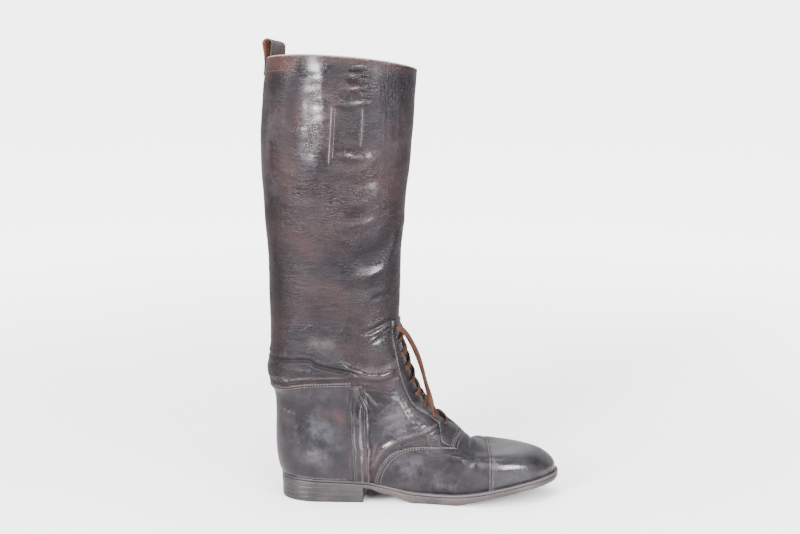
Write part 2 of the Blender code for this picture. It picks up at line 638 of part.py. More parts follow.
def add_upper(parent):
    """Upper with its overlays: wall of the foot and leg, vamp, toe cap, counter, straps and eyestay."""
    throat = add_throat_guide(parent)
    holes = add_hole_guide(parent)
    upper = add_shell("upper", -WALL, 0.0, LEG_LEATHER, parent)
    boolean(upper, throat, "DIFFERENCE")
    boolean(upper, holes, "DIFFERENCE")

    wing = curve_points(WING_EDGE)
    front = curve_points(STAY_FRONT)
    vamp = add_panel("vamp", PANEL, wing + front + [(FAR, FAR), (FAR, PANEL_FOOT)], LEATHER, parent)
    seam = add_prism("seam.guide", cap_outline(CAP_SEAM_X - GAP), -FAR, FAR, parent, CAP_SKEW)
    boolean(vamp, seam, "DIFFERENCE")
    add_panel("toe_cap", CAP_PANEL, cap_outline(CAP_SEAM_X), CAP_LEATHER, parent, skew=CAP_SKEW)
    counter = curve_points(COUNTER_TOP) + list(reversed(curve_points(STRAP_REAR, 1)))
    add_panel("counter", PANEL, counter + [(COUNTER_TOP[0][0], PANEL_FOOT)], LEATHER, parent)
    strap = curve_points(STRAP_REAR, 1) + list(reversed(curve_points(STRAP_FRONT, 1)))
    add_panel("side_strap_lateral", CAP_PANEL, strap, LEATHER, parent, sides=(-FAR, 0.0))
    add_panel("side_strap_medial", CAP_PANEL, strap, LEATHER, parent, sides=(0.0, FAR))
    stay = list(reversed(front)) + curve_points(STAY_REAR)
    stay += [(FAR, STAY_REAR[-1][1]), (FAR, STAY_FRONT[-1][1])]
    eyestay = add_panel("eyestay", PANEL, stay, LEATHER, parent)
    boolean(eyestay, throat, "DIFFERENCE")
    boolean(eyestay, holes, "DIFFERENCE")


def main():
    """Build the boot in an empty scene."""
    for thing in list(bpy.data.objects):
        bpy.data.objects.remove(thing)
    boot = bpy.data.objects.new("boot", None)
    bpy.context.scene.collection.objects.link(boot)
    add_outsole(boot)
    add_heel(boot)
    add_welt(boot)
    add_insole(boot)
    add_upper(boot)
    add_tongue(boot)
    add_lace_bars(boot)
    add_lace_end(boot)
    add_pull_loop(boot)


main()
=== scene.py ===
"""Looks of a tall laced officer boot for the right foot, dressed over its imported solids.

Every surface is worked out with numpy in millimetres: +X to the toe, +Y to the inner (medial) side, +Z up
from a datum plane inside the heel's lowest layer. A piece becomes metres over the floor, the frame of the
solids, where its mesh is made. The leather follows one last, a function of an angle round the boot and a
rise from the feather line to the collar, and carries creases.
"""

import logging
import math
from dataclasses import dataclass, field
from enum import Enum
from typing import Callable, Optional, Sequence

import bmesh
import bpy
import numpy as np
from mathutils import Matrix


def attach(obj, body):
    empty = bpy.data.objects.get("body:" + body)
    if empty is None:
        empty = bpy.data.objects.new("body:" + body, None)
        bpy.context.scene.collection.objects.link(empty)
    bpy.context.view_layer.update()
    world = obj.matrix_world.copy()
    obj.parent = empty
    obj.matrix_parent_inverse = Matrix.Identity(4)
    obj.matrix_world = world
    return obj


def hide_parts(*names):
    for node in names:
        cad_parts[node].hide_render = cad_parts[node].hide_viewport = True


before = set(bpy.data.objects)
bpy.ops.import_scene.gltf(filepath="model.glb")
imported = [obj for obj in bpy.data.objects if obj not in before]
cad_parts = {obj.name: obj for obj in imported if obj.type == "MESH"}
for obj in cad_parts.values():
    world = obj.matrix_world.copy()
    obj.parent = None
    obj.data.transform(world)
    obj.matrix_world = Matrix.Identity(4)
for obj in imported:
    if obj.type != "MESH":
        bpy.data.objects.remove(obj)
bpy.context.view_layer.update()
log = logging.getLogger("officer_boot")

Array = np.ndarray
Corners = Sequence[Sequence[float]]
Triple = tuple[float, float, float]
Material = bpy.types.Material
Socket = bpy.types.NodeSocket

MM = 0.001
FULL_TURN = 2.0 * math.pi

# Sizes that pieces share, in millimetres and as rises on the last
FLOOR = -2.5  # height of the floor over the datum plane
WALL = 2.2  # thickness of the upper with its lining
THROAT = (0.385, 0.675)  # rises between which the upper is open in front
SIDE_FADE = 8.0  # width over which a mark of one side fades at the boot's middle
NO_EDGE = 20.0  # distance that stands for no cut edge near


class Side(Enum):
    """Side of the boot that a crease or a mark lies on."""

    LATERAL = -1
    MEDIAL = 1
    BOTH = 0


class Slot(Enum):
    """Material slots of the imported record."""

    LEG = "leg_leather"
    FOOT = "foot_leather"
    CAP = "cap_leather"
    WELT = "welt_leather"
    SOLE = "sole_leather"
    LINING = "lining"
    LACE = "lace"


# Curves and noise


def over_floor(points: Array) -> Array:
    """Points of the datum's frame as metres over the floor."""
    return (points - np.array((0.0, 0.0, FLOOR))) * MM


def eased(share: Array) -> Array:
    """Smooth step from 0 to 1 with level ends."""
    share = np.clip(share, 0.0, 1.0)
    return share * share * (3.0 - 2.0 * share)


def unit(vectors: Array) -> Array:
    """Vectors scaled to length 1."""
    return vectors / np.maximum(np.linalg.norm(vectors, axis=-1, keepdims=True), 1e-12)


def smooth_through(knots: Sequence[float], values: Sequence[float], at: Array) -> Array:
    """Cubic curve through values at knots whose slopes never overshoot them.

    Args:
        knots: rising places of the values.
        values: one value for each knot.
        at: places to read the curve at.
    Returns:
        The curve's values at those places.
    """
    knots = np.asarray(knots, dtype=float)
    values = np.asarray(values, dtype=float)
    steps = np.diff(knots)
    grades = np.diff(values) / steps
    product = grades[:-1] * grades[1:]
    total = np.where(product > 0.0, grades[:-1] + grades[1:], 1.0)
    inner = np.where(product > 0.0, 2.0 * product / total, 0.0)
    slopes = np.concatenate((grades[:1], inner, grades[-1:]))
    at = np.clip(at, knots[0], knots[-1])
    index = np.clip(np.searchsorted(knots, at, side="right") - 1, 0, len(steps) - 1)
    step = steps[index]
    share = (at - knots[index]) / step
    left = (1.0 + 2.0 * share) * (1.0 - share) ** 2 * values[index]
    right = share ** 2 * (3.0 - 2.0 * share) * values[index + 1]
    turn = share * (1.0 - share) * ((1.0 - share) * slopes[index] - share * slopes[index + 1])
    return left + right + step * turn


def curve_through(corners: Corners, steps: int = 6) -> Array:
    """Points of a smooth line through corners, with so many steps from one corner to the next.

    Args:
        corners: points of two or three numbers.
        steps: steps between corners.
    Returns:
        The line's points, one a row.
    """
    corners = np.asarray(corners, dtype=float)
    knots = np.arange(len(corners))
    at = np.linspace(0.0, len(corners) - 1.0, (len(corners) - 1) * steps + 1)
    return np.stack([smooth_through(knots, column, at) for column in corners.T], axis=-1)


def lengths_along(points: Array) -> Array:
    """Length from the first point to each point of a line."""
    steps = np.linalg.norm(np.diff(points, axis=0), axis=-1)
    return np.concatenate(([0.0], np.cumsum(steps)))


def respaced(points: Array, lengths: Array, at: Array) -> Array:
    """Rows of a table read again at other lengths, straight between its rows."""
    return np.stack([np.interp(at, lengths, column) for column in points.T], axis=-1)


def waves(points: Array, length: float, seed: int, stretch: Sequence[float] = (1.0, 1.0, 1.0)) -> Array:
    """Soft unevenness from about -1 to 1: a sum of sine waves that run in fixed chance directions.

    Args:
        points: places in millimetres, three numbers each.
        length: middle wave length in millimetres.
        seed: number that picks the waves.
        stretch: factors on X, Y and Z, under 1 where the waves are drawn out.
    Returns:
        One value for each place.
    """
    count = 9
    chance = np.random.default_rng(seed)
    ways = unit(chance.normal(size=(count, 3)))
    pace = FULL_TURN / (length * chance.uniform(0.7, 1.5, count))
    start = chance.uniform(0.0, FULL_TURN, count)
    phase = (points * np.asarray(stretch)) @ (ways * pace[:, None]).T + start
    return np.sin(phase).sum(axis=-1) / math.sqrt(2.0 * count)


def read_columns(at: Array, places: Array, values: Array) -> Array:
    """Values read straight between rising places, each column on its own.

    Args:
        at: places to read at, one column each.
        places: rising places of the values.
        values: one value for each place.
    Returns:
        The values at those places.
    """
    index = np.clip(np.sum(places[None] <= at[:, None], axis=1) - 1, 0, len(places) - 2)
    low, high = np.take_along_axis(places, index, 0), np.take_along_axis(places, index + 1, 0)
    share = np.clip((at - low) / np.maximum(high - low, 1e-9), 0.0, 1.0)
    first = np.take_along_axis(values, index, 0)
    return first + share * (np.take_along_axis(values, index + 1, 0) - first)


def distance_to_line(points: Array, line: Array) -> tuple[Array, Array]:
    """Distance of points from a line of straight pieces, the least over its pieces.

    Args:
        points: places of two numbers.
        line: corners of the line.
    Returns:
        The distances, and the share of the line's length at the nearest places.
    """
    starts, ways = line[:-1], np.diff(line, axis=0)
    offsets = points[:, None, :] - starts
    along = np.clip(np.sum(offsets * ways, axis=-1) / np.sum(ways * ways, axis=-1), 0.0, 1.0)
    away = np.linalg.norm(offsets - along[..., None] * ways, axis=-1)
    nearest = np.argmin(away, axis=1)
    rows = np.arange(len(points))
    passed = lengths_along(line)
    pieces = np.diff(passed)
    share = (passed[nearest] + along[rows, nearest] * pieces[nearest]) / passed[-1]
    return away[rows, nearest], share


# Creases and wear marks


@dataclass(frozen=True)
class Stroke:
    """A soft line on the side of the boot: a trough, a ridge or a mark of wear.

    Attributes:
        line: (x, z) corners in millimetres, seen from the side.
        depth: height of a ridge, or less than 0 for a trough; the strength of a mark.
        width: distance at which it has fallen to about a third.
        side: side of the boot.
        lip: share of the depth that comes back on both shoulders.
        ends: how blunt its ends are, from 0 for square ones.
    """

    line: Corners
    depth: float
    width: float
    side: Side = Side.LATERAL
    lip: float = 0.0
    ends: float = 0.5

    def height(self, points: Array) -> Array:
        """Depth times exp(-(d / width)^2), less its lips, faded to its ends.

        Args:
            points: places on the last, three numbers each.
        Returns:
            One height for each place.
        """
        line = curve_through(self.line, 5)
        margin = 4.0 * self.width
        flat = points[:, (0, 2)]
        near = np.all((flat > line.min(axis=0) - margin) & (flat < line.max(axis=0) + margin), axis=1)
        if self.side is not Side.BOTH:
            near &= points[:, 1] * self.side.value > -0.5 * SIDE_FADE
        heights = np.zeros(len(points))
        if not near.any():
            return heights
        away, share = distance_to_line(flat[near], line)
        shape = np.exp(-(away / self.width) ** 2)
        shape -= self.lip * np.exp(-((away - 2.0 * self.width) / self.width) ** 2)
        fade = np.clip(4.0 * share * (1.0 - share), 0.0, 1.0) ** self.ends
        if self.side is not Side.BOTH:
            fade = fade * eased(points[near, 1] * self.side.value / SIDE_FADE + 0.5)
        heights[near] = self.depth * shape * fade
        return heights


def stroke_sum(strokes: Sequence[Stroke], points: Array) -> Array:
    """Sum of the heights of strokes.

    Args:
        strokes: the strokes.
        points: places of any grid.
    Returns:
        One height for each place.
    """
    flat = points.reshape(-1, 3)
    total = np.zeros(len(flat))
    for stroke in strokes:
        total += stroke.height(flat)
    return total.reshape(points.shape[:-1])


def strokes_of(side: Side, *rows: Sequence[float | tuple[float, float]]) -> tuple[Stroke, ...]:
    """Strokes of one side of the boot, from plain rows.

    Args:
        side: side of the boot.
        rows: depth, width, then lip and ends where they aren't the usual ones, then the corners of each.
    Returns:
        The strokes.
    """
    made = []
    for row in rows:
        corners = tuple(part for part in row if isinstance(part, tuple))
        depth, width, *form = (part for part in row if not isinstance(part, tuple))
        made.append(Stroke(corners, depth, width, side, *form))
    return tuple(made)


def row_of_folds(start: Sequence[float], end: Sequence[float], way: Sequence[float], count: int,
                 depth: float, width: float) -> tuple[Stroke, ...]:
    """Side-by-side folds of the lateral side, bent and raised a little unevenly by sines of their number.

    Args:
        start, end: (x, z) where the first and the last fold begin.
        way: (x, z) from a fold's beginning to its end.
        count: number of folds.
        depth: height of the highest fold.
        width: half width of a fold.
    Returns:
        The folds as strokes.
    """
    start, end, way = (np.asarray(corner, dtype=float) for corner in (start, end, way))
    folds = []
    for place in range(count):
        low = start + place / (count - 1) * (end - start)
        bend = np.array((math.sin(2.7 * place), math.cos(3.9 * place))) * width
        middle = low + 0.5 * way + bend
        high = depth * (0.75 + 0.25 * math.sin(5.1 * place))
        folds.append(Stroke((low, middle, low + way), high, width, lip=0.7))
    return tuple(folds)


# Folds of the leg and the ankle, then the flex creases of the forefoot
CREASES = strokes_of(
    Side.LATERAL,
    (1.9, 9, (15, 476), (9, 446), (12, 418), (10, 392), (0, 366), (-12, 338)),
    (-1.5, 8.5, (-20, 474), (-25, 440), (-28, 400), (-31, 360)),
    (0.7, 6, (-46, 440), (-48, 400), (-49, 350)),
    (-0.9, 6, (24, 462), (19, 440), (20, 428)),
    (0.45, 2, 0.4, (33, 467), (41, 464.5), (51, 465.5)),
    (0.5, 2.2, 0.3, (28, 458), (37, 455), (45, 456.5)),
    (0.4, 1.8, 0.4, (38, 453), (47, 450), (57, 451.5)),
    (0.55, 2.4, 0.3, (26, 445), (38, 442), (52, 445)),
    (0.35, 1.8, 0.4, (42, 438), (48, 436), (56, 438)),
    (0.8, 2.8, 0.4, (18, 430), (36, 426.5), (56, 430)),
    (0.9, 5, (18, 364), (34, 358), (52, 366), (66, 380)),
    (0.8, 3, 0.4, (24, 378), (40, 372), (56, 376)),
    (-0.9, 5, (22, 352), (44, 346), (64, 352)),
    (1, 5, (28, 320), (48, 326), (66, 338)),
    (0.9, 4, 0.6, (24, 300), (46, 304), (62, 310)),
    (0.5, 6, (-40, 330), (-20, 322), (4, 326)),
    (-0.5, 6, (-45, 290), (-22, 286), (2, 292)),
    (1.7, 4.6, (28, 245), (48, 248), (66, 254), (77, 275), (88, 309)),
    (-1.6, 8, (30, 265), (52, 270), (67, 279), (78, 303)),
    (-1, 6, (24, 233), (44, 233), (62, 237)),
    (-1, 2.4, 0.5, (54, 222), (66, 226), (80, 227)),
    (0.5, 6, (-36, 236), (-12, 230), (14, 234)),
    (-0.5, 6, (-30, 206), (0, 200), (28, 205)),
    (-1.5, 2.4, 0.5, (44, 185), (60, 191), (78, 199)),
    (0.6, 6, (-45, 178), (-20, 171), (10, 173)),
    (-2.4, 1.9, 0.35, 0.3, (-58, 158), (-39, 155), (-15, 157), (-1, 151), (27, 145), (44, 141)),
    (0.9, 4, (-40, 166), (-10, 165), (12, 160)),
    (2.3, 2.7, 0, 0.35, (17, 157), (32, 148.5), (51, 140.5), (64, 139.5), (79, 143.5)),
    (-1.2, 4.5, (24, 161), (42, 153), (62, 149), (80, 153)),
    (-1.2, 2, 0.4, (46, 133), (64, 132), (82, 136)),
    (0.7, 3, (-50, 147), (-24, 145), (6, 141), (24, 139)),
    (0.9, 1.3, (-41, 137), (-38, 134), (-34, 131)),
    (0.8, 1.2, 0, 0.2, (-44, 130.5), (-30, 134.5), (-10, 137), (30, 138.5)),
    (-1.3, 1.5, 0.5, (40, 128), (58, 126), (80, 122.5)),
    (-0.8, 3, 0.5, (56, 116), (68, 109), (84, 105)),
    (1.3, 1.7, 0.4, (42, 126), (50, 117), (59, 105)),
    (1.9, 2.1, 0.4, (55, 36), (66, 56), (84, 69), (108, 76), (127, 84)),
    (-1.2, 2.8, 0.3, (54, 52), (66, 68), (86, 80), (108, 85)),
    (0.8, 2.6, (58, 84), (74, 92), (94, 96)),
    (-0.35, 0.8, (-12, 116), (-12.5, 100), (-12, 84)),
)
CREASES += strokes_of(
    Side.BOTH,
    (-1.6, 4, 0, 0.2, (-62, 130), (-50, 129), (-36, 131)),
    (1.2, 6, 0, 0.2, (-62, 160), (-50, 160), (-36, 161)),
    (0.9, 2.4, 0.5, (112, 10), (113, 24), (116, 40)),
    (-0.7, 2.2, 0.4, (120, 12), (122, 26), (127, 42)),
    (0.9, 2.6, 0.3, (126, 10), (130, 26), (135, 38), (140, 45)),
    (0.9, 2.2, 0.6, (139, 12), (141, 26), (144, 38)),
    (-2.2, 4.2, 0.15, 0.5, (170, 70), (165, 60), (160, 51), (156, 44)),
    (-1, 5.5, 0.2, (160, 52), (152, 42), (147, 26)),
    (0.5, 2.2, 0.4, (149, 14), (151, 24), (153, 34)),
    (0.4, 5, (170, 58), (168, 48), (167, 36)),
)
# The hidden inner side has the same kinds of fold, placed a little otherwise
CREASES += strokes_of(
    Side.MEDIAL,
    (1.6, 9, (-10, 462), (-4, 430), (4, 392)),
    (1.1, 5, (30, 350), (52, 342), (74, 350)),
    (-0.9, 6, (-30, 300), (0, 292), (30, 300)),
    (1.3, 5, (20, 262), (46, 252), (72, 262)),
    (-1.2, 5, (24, 238), (50, 232), (74, 240)),
    (-1.9, 2.8, 0.4, 0.3, (-58, 160), (-40, 157), (-10, 154), (20, 148), (46, 142)),
    (1.7, 2.5, (10, 160), (36, 149), (60, 142), (80, 146)),
    (-1.3, 2.4, 0.4, (36, 130), (58, 126), (80, 122)),
    (-1.4, 3.6, 0.5, (40, 182), (58, 188), (78, 198)),
    (1.1, 3.2, 0.3, (56, 40), (68, 58), (86, 70), (108, 77)),
    (-1, 3.2, 0.4, (56, 78), (74, 88), (96, 93)),
)
CREASES += row_of_folds((60, 446), (92, 432), (-1, -62), 12, 0.1, 1.3)
CREASES += row_of_folds((46, 172), (60, 184), (18, 8), 8, 0.2, 1.2)
CREASES += row_of_folds((62, 66), (72, 92), (26, 12), 5, 0.35, 1.6)

# Ridges of the stitched patch on the leg
CREASES += strokes_of(
    Side.LATERAL,
    (0.8, 1.2, 0, 0.15, (16.5, 427), (15, 400), (12.4, 367)),
    (0.5, 0.9, 0, 0.2, (20.5, 424), (19, 400), (17, 372)),
    (0.6, 1.3, 0, 0.2, (47.5, 424), (46.5, 404), (45, 385)),
    (-0.6, 2, 0, 0.3, (15, 381), (30, 379), (46, 383)),
)

# Light scuffs and pale lines painted as highlights on fold and piping crests, then red-brown patches
SCUFFS_AND_HIGHLIGHTS = strokes_of(
    Side.LATERAL,
    (0.28, 6, (-12, 178), (4, 175), (18, 176)),
    (0.45, 0.5, (-43, 101), (-35, 99), (-26, 97)),
    (0.35, 1.4, (-15, 55), (-9, 54), (-2, 55)),
    (0.1, 7, (-30, 55), (-10, 47), (14, 46)),
    (0.3, 0.5, (186, 47), (190, 41), (192, 38)),
    (0.5, 0.8, 0, 0.2, (-26, 26), (0, 24), (28, 23)),
    (0.28, 0.7, 0, 0.2, (-44, 131), (-30, 134.5), (-10, 137), (30, 138.5)),
    (0.25, 0.7, 0, 0.2, (42, 129), (58, 127.5), (80, 124)),
    (0.6, 0.7, (-40, 137), (-38, 134.5), (-34, 132)),
    (0.26, 1.4, 0, 0.1, (16.8, 425), (15.2, 400), (12.8, 368)),
    (0.26, 1.4, 0, 0.2, (47.5, 424), (46.5, 404), (45, 385)),
    (0.42, 1, 0, 0.3, (55, 38), (66, 57), (84, 70), (108, 77), (127, 84)),
    (0.5, 0.9, (54, 46), (57, 58), (62, 68)),
    (0.16, 4, (60, 86), (84, 98), (108, 103)),
    (0.22, 0.8, (60, 66), (78, 82), (100, 90)),
    (0.2, 0.7, (64, 74), (80, 88), (98, 96)),
    (0.22, 0.8, (60, 92), (70, 104), (84, 112)),
)
SCUFFS_AND_HIGHLIGHTS += strokes_of(
    Side.BOTH,
    (0.28, 1.6, 0, 0.1, (-50, 476), (0, 478), (60, 474), (104, 464)),
)
RUSTS = strokes_of(
    Side.LATERAL,
    (1, 8, 0, 0.4, (-54, 468), (-38, 468), (-18, 467)),
    (0.45, 5, 0, 0.2, (-24, 473), (20, 474), (60, 469), (100, 459)),
    (0.5, 3, (14, 428), (17, 424), (20, 420)),
    (0.4, 2, (38, 424), (44, 424), (48, 422)),
    (0.22, 7, (22, 392), (32, 389), (42, 392)),
    (0.3, 8, (-20, 440), (-28, 390), (-30, 330)),
    (0.26, 14, (-28, 300), (-14, 280), (2, 262)),
    (0.2, 14, (-24, 236), (6, 232), (34, 226)),
    (0.18, 12, (60, 360), (66, 340), (72, 310)),
    (0.95, 6, (14, 104), (20, 96), (26, 84)),
    (0.4, 7, (-6, 106), (4, 98), (6, 86)),
    (0.35, 6, 0, 0.3, (-46, 112), (-48, 80), (-44, 34)),
    (0.45, 2.2, (32, 60), (32, 42), (32, 26)),
    (0.5, 2.4, (46, 60), (48, 42), (49, 26)),
    (0.3, 4, (-40, 124), (-10, 127), (20, 128)),
)

# Grey patches of old wax, partly painted sheen where the leather reflects light
HAZES = strokes_of(
    Side.BOTH,
    (0.55, 20, (62, 104), (90, 96), (120, 90)),
    (0.35, 10, (60, 60), (80, 78), (100, 84)),
    (0.3, 12, (-40, 96), (-14, 60), (10, 34)),
    (0.3, 7, (-36, 116), (-10, 118), (24, 122)),
    (0.65, 13, (76, 30), (92, 40), (112, 42)),
    (0.55, 10, (120, 30), (136, 24), (150, 30)),
    (0.4, 9, (188, 26), (206, 30), (226, 26)),
    (0.35, 7, (50, 150), (64, 146), (84, 150)),
    (0.2, 9, (-40, 150), (-10, 158), (26, 166)),
    (0.22, 14, (70, 440), (80, 400), (84, 350)),
    (0.45, 6, (-48, 440), (-49, 400), (-48, 330)),
    (0.16, 16, (20, 350), (44, 330), (62, 290)),
)
HAZES += strokes_of(
    Side.LATERAL,
    (0.7, 18, (-20, 92), (0, 74), (12, 52)),
)

# Places that rubbing has polished, and duller ones with a strength under 0
SHINES = strokes_of(
    Side.LATERAL,
    (1, 9.5, 0, 0.3, (5, 476), (2, 446), (0, 420), (-5, 396), (-14, 366)),
    (0.8, 11, (44, 472), (45, 450), (42, 428)),
    (0.4, 6, (-47, 440), (-48, 400), (-48, 350)),
    (0.6, 6, (28, 380), (42, 374), (56, 378)),
    (0.6, 6, (28, 300), (46, 304), (62, 310)),
    (1, 6, (30, 249), (48, 252), (68, 258)),
    (1, 4, (17, 157), (32, 149), (51, 141), (66, 139.5), (80, 144)),
    (0.7, 8, (46, 172), (62, 182), (78, 192)),
    (0.6, 7, (55, 36), (66, 56), (84, 69), (108, 76), (127, 84)),
    (-0.3, 12, (40, 210), (56, 222), (60, 330)),
    (0.3, 7, (24, 334), (42, 338), (64, 348)),
    (-0.7, 9, (-28, 440), (-34, 400), (-36, 340)),
)
SHINES += strokes_of(
    Side.BOTH,
    (0.9, 8, (78, 190), (84, 165), (92, 140)),
    (0.8, 10, (42, 30), (42, 80), (38, 124)),
    (0.5, 16, (184, 44), (206, 46), (228, 42)),
    (-0.8, 20, (-50, 150), (-20, 162), (20, 172)),
    (-0.8, 26, (-36, 330), (-16, 270), (0, 200)),
    (-0.7, 15, (72, 440), (80, 400), (84, 330)),
    (0.3, 15, (62, 106), (92, 98), (118, 92)),
    (0.3, 8, (86, 160), (98, 126), (124, 98)),
)


# The last


@dataclass(frozen=True)
class Last:
    """Outer surface of the boot's upper as a function of an angle and a rise, in millimetres.

    Each row of sections is a loop through a point of the back line and a point of the front line: back x and
    z, front x and z, the lengths over which back and front close, and half widths at heel, waist and ball on
    the lateral and then the medial side. Rows run from the feather line to the collar.
    """

    sections: Sequence[Sequence[float]] = (
        (-43.5, 25.2, 251, 26.3, 40, 84, 29, 29, 42, 29, 24, 42),
        (-46.6, 34, 250, 33.5, 42, 84, 31.5, 31, 44.5, 31.5, 26.5, 44.5),
        (-48.6, 46, 245, 40.8, 43, 80, 32.5, 32.5, 44.5, 32.5, 28.5, 44),
        (-49.2, 57, 234.5, 47.5, 44, 74, 33, 33.5, 43, 33, 30.5, 42),
        (-49.4, 67, 215, 50.9, 44, 64, 33, 34, 40.5, 33, 32, 39.5),
        (-49.2, 77, 187, 51.5, 44, 56, 33, 34.5, 37, 33, 33, 36),
        (-48.9, 86, 162, 60, 44, 50, 33, 34.5, 34, 33, 33.5, 33),
        (-48.7, 96, 142, 77.5, 44, 44, 33.5, 34.5, 31.5, 33.5, 34, 31),
        (-49, 107, 121.5, 91.5, 44, 42, 34.5, 35, 30.5, 34.5, 34.5, 30),
        (-51, 117.5, 105, 113, 45, 44, 35, 35.5, 31.5, 35, 35, 31),
        (-58.5, 129, 95, 138, 50, 48, 36.5, 37, 33, 36.5, 36.5, 33),
        (-59.4, 142, 87, 163, 52, 50, 37, 38, 34.5, 37, 37.5, 34.5),
        (-55.2, 164, 82.5, 190, 54, 54, 37, 38.5, 36, 37, 38.5, 36),
        (-55, 205, 83.8, 218, 56, 56, 38.5, 39.5, 37.5, 38.5, 39.5, 37.5),
        (-56.2, 265, 85.2, 262, 60, 60, 42, 42.5, 40.5, 42, 42.5, 40.5),
        (-60.4, 321, 88.5, 310, 65, 64, 46, 46.5, 44.5, 46, 46.5, 44.5),
        (-62.3, 378, 95, 370, 68, 68, 48.5, 49, 47, 48.5, 49, 47),
        (-59.3, 428, 99.3, 424, 68, 68, 49, 49.5, 47.5, 49, 49.5, 47.5),
        (-54.8, 470, 101.3, 459.5, 66, 66, 48.5, 49, 47, 48.5, 49, 47),
    )
    sole_x: Sequence[float] = (-48, 0, 48, 62, 76, 90, 101, 122, 142, 160, 181, 213, 258)
    feather_z: Sequence[float] = (25.3, 23.6, 21.6, 19.0, 15.8, 12.4, 10.6, 9.6, 10.0, 12.2, 15.8, 21.0, 27.2)
    floor_z: Sequence[float] = (14.2, 14.2, 14.2, 9.0, 5.6, 0.2, FLOOR, FLOOR, FLOOR, 1.4, 5.8, 11.3, 17.6)
    reaches: Sequence[float] = (1.6, 1.6, 1.6, 1.8, 2.2, 3.2, 4.0, 4.8, 5.0, 5.0, 5.0, 5.0, 5.0)
    heel_at: float = 0.18
    waist_at: float = 0.48
    ball_at: float = 0.76
    toe_swing: float = 8.0
    swing_start: float = 0.35
    sag_end: float = 0.45
    sag_power: float = 1.6
    collar_start: float = 0.82
    collar_crown: float = 9.0
    collar_tilt: float = 0.19
    level_edge: float = 0.03
    ankle: tuple[float, float] = (0.48, 0.68)
    ankle_fade: float = 0.04
    search_top: float = 0.98
    halvings: int = 32

    def section_at(self, rise: Array) -> list[Array]:
        """Columns of the section table at a rise."""
        rises = np.linspace(0.0, 1.0, len(self.sections))
        return [smooth_through(rises, column, rise) for column in zip(*self.sections)]

    def feather(self, x: Array) -> Array:
        """Height of the feather line, on top of the welt, at x."""
        return smooth_through(self.sole_x, self.feather_z, x)

    def floor_side(self, x: Array) -> Array:
        """Height of the outsole's floor side at x."""
        return smooth_through(self.sole_x, self.floor_z, x)

    def reach(self, x: Array) -> Array:
        """How far the sole stands past the upper at x."""
        return smooth_through(self.sole_x, self.reaches, x)

    def point(self, angle: Array, rise: Array) -> Array:
        """Place on the smooth last: a rounded loop whose ends close like quarter ellipses, with the sag of
        the feather line, the swing of the toe and the tilt of the collar added.

        Args:
            angle: 0 at the back, pi at the front, lateral side first.
            rise: 0 at the feather line, 1 at the collar.
        Returns:
            Points of three numbers.
        """
        angle, rise = np.broadcast_arrays(np.asarray(angle, dtype=float), np.asarray(rise, dtype=float))
        (back_x, back_z, front_x, front_z, back_round, front_round,
         l_heel, l_waist, l_ball, m_heel, m_waist, m_ball) = self.section_at(rise)
        along = 0.5 * (1.0 - np.cos(angle))
        x = back_x + along * (front_x - back_x)
        z = back_z + along * (front_z - back_z)
        length = np.hypot(front_x - back_x, front_z - back_z)
        from_back = np.clip(along * length / back_round, 0.0, 1.0)
        from_front = np.clip((1.0 - along) * length / front_round, 0.0, 1.0)
        closing = np.sqrt((1.0 - (1.0 - from_back) ** 2) * (1.0 - (1.0 - from_front) ** 2))
        to_waist = eased((along - self.heel_at) / (self.waist_at - self.heel_at))
        to_ball = eased((along - self.waist_at) / (self.ball_at - self.waist_at))
        lateral = l_heel * (1.0 - to_waist) + l_waist * (to_waist - to_ball) + l_ball * to_ball
        medial = m_heel * (1.0 - to_waist) + m_waist * (to_waist - to_ball) + m_ball * to_ball
        sag = np.clip(1.0 - rise / self.sag_end, 0.0, 1.0)
        swing = self.toe_swing * sag * eased((along - self.swing_start) / (1.0 - self.swing_start))
        y = swing + closing * np.where(np.sin(angle) >= 0.0, -lateral, medial)
        first = self.sections[0]
        chord = first[1] + (x - first[0]) / (first[2] - first[0]) * (first[3] - first[1])
        z = z + sag ** self.sag_power * (self.feather(x) - chord)
        collar = eased((rise - self.collar_start) / (1.0 - self.collar_start))
        z = z + collar * (self.collar_crown * along * (1.0 - along) - self.collar_tilt * y)
        return np.stack((x, y, z), axis=-1)

    def normal(self, angle: Array, rise: Array) -> Array:
        """Unit normal of the smooth last, across its ways round and up, level at feather line and collar.

        Args:
            angle, rise: as for a point.
        Returns:
            Vectors of three numbers.
        """
        angle, rise = np.broadcast_arrays(np.asarray(angle, dtype=float), np.asarray(rise, dtype=float))
        step = 1e-4
        round_way = self.point(angle + step, rise) - self.point(angle - step, rise)
        above, below = np.minimum(rise + step, 1.0), np.maximum(rise - step, 0.0)
        normal = np.cross(round_way, self.point(angle, above) - self.point(angle, below))
        normal[..., 2] *= eased(rise / self.level_edge) * eased((1.0 - rise) / self.level_edge)
        return unit(normal)

    def angle_for_x(self, x: Array, rise: Array) -> Array:
        """Lateral angle at which the section at a rise reaches x, the inverse of x's own formula."""
        back_x, _, front_x, *_ = self.section_at(rise)
        along = np.clip((x - back_x) / (front_x - back_x), 0.0, 1.0)
        return np.arccos(1.0 - 2.0 * along)

    def angle_off_ridge(self, rise: Array, across: Array) -> Array:
        """Angle from the front ridge to a place beside it, on the quarter ellipse of the front.

        Args:
            rise: rises of the places.
            across: millimetres from the ridge.
        Returns:
            Angles, counted from the ridge.
        """
        back_x, back_z, front_x, front_z, _, front_round, _, _, ball, *_ = self.section_at(rise)
        length = np.hypot(front_x - back_x, front_z - back_z)
        share = np.clip(across / ball, 0.0, 0.999)
        short = (1.0 - np.sqrt(1.0 - share ** 2)) * front_round / length
        return math.pi - np.arccos(1.0 - 2.0 * (1.0 - short))

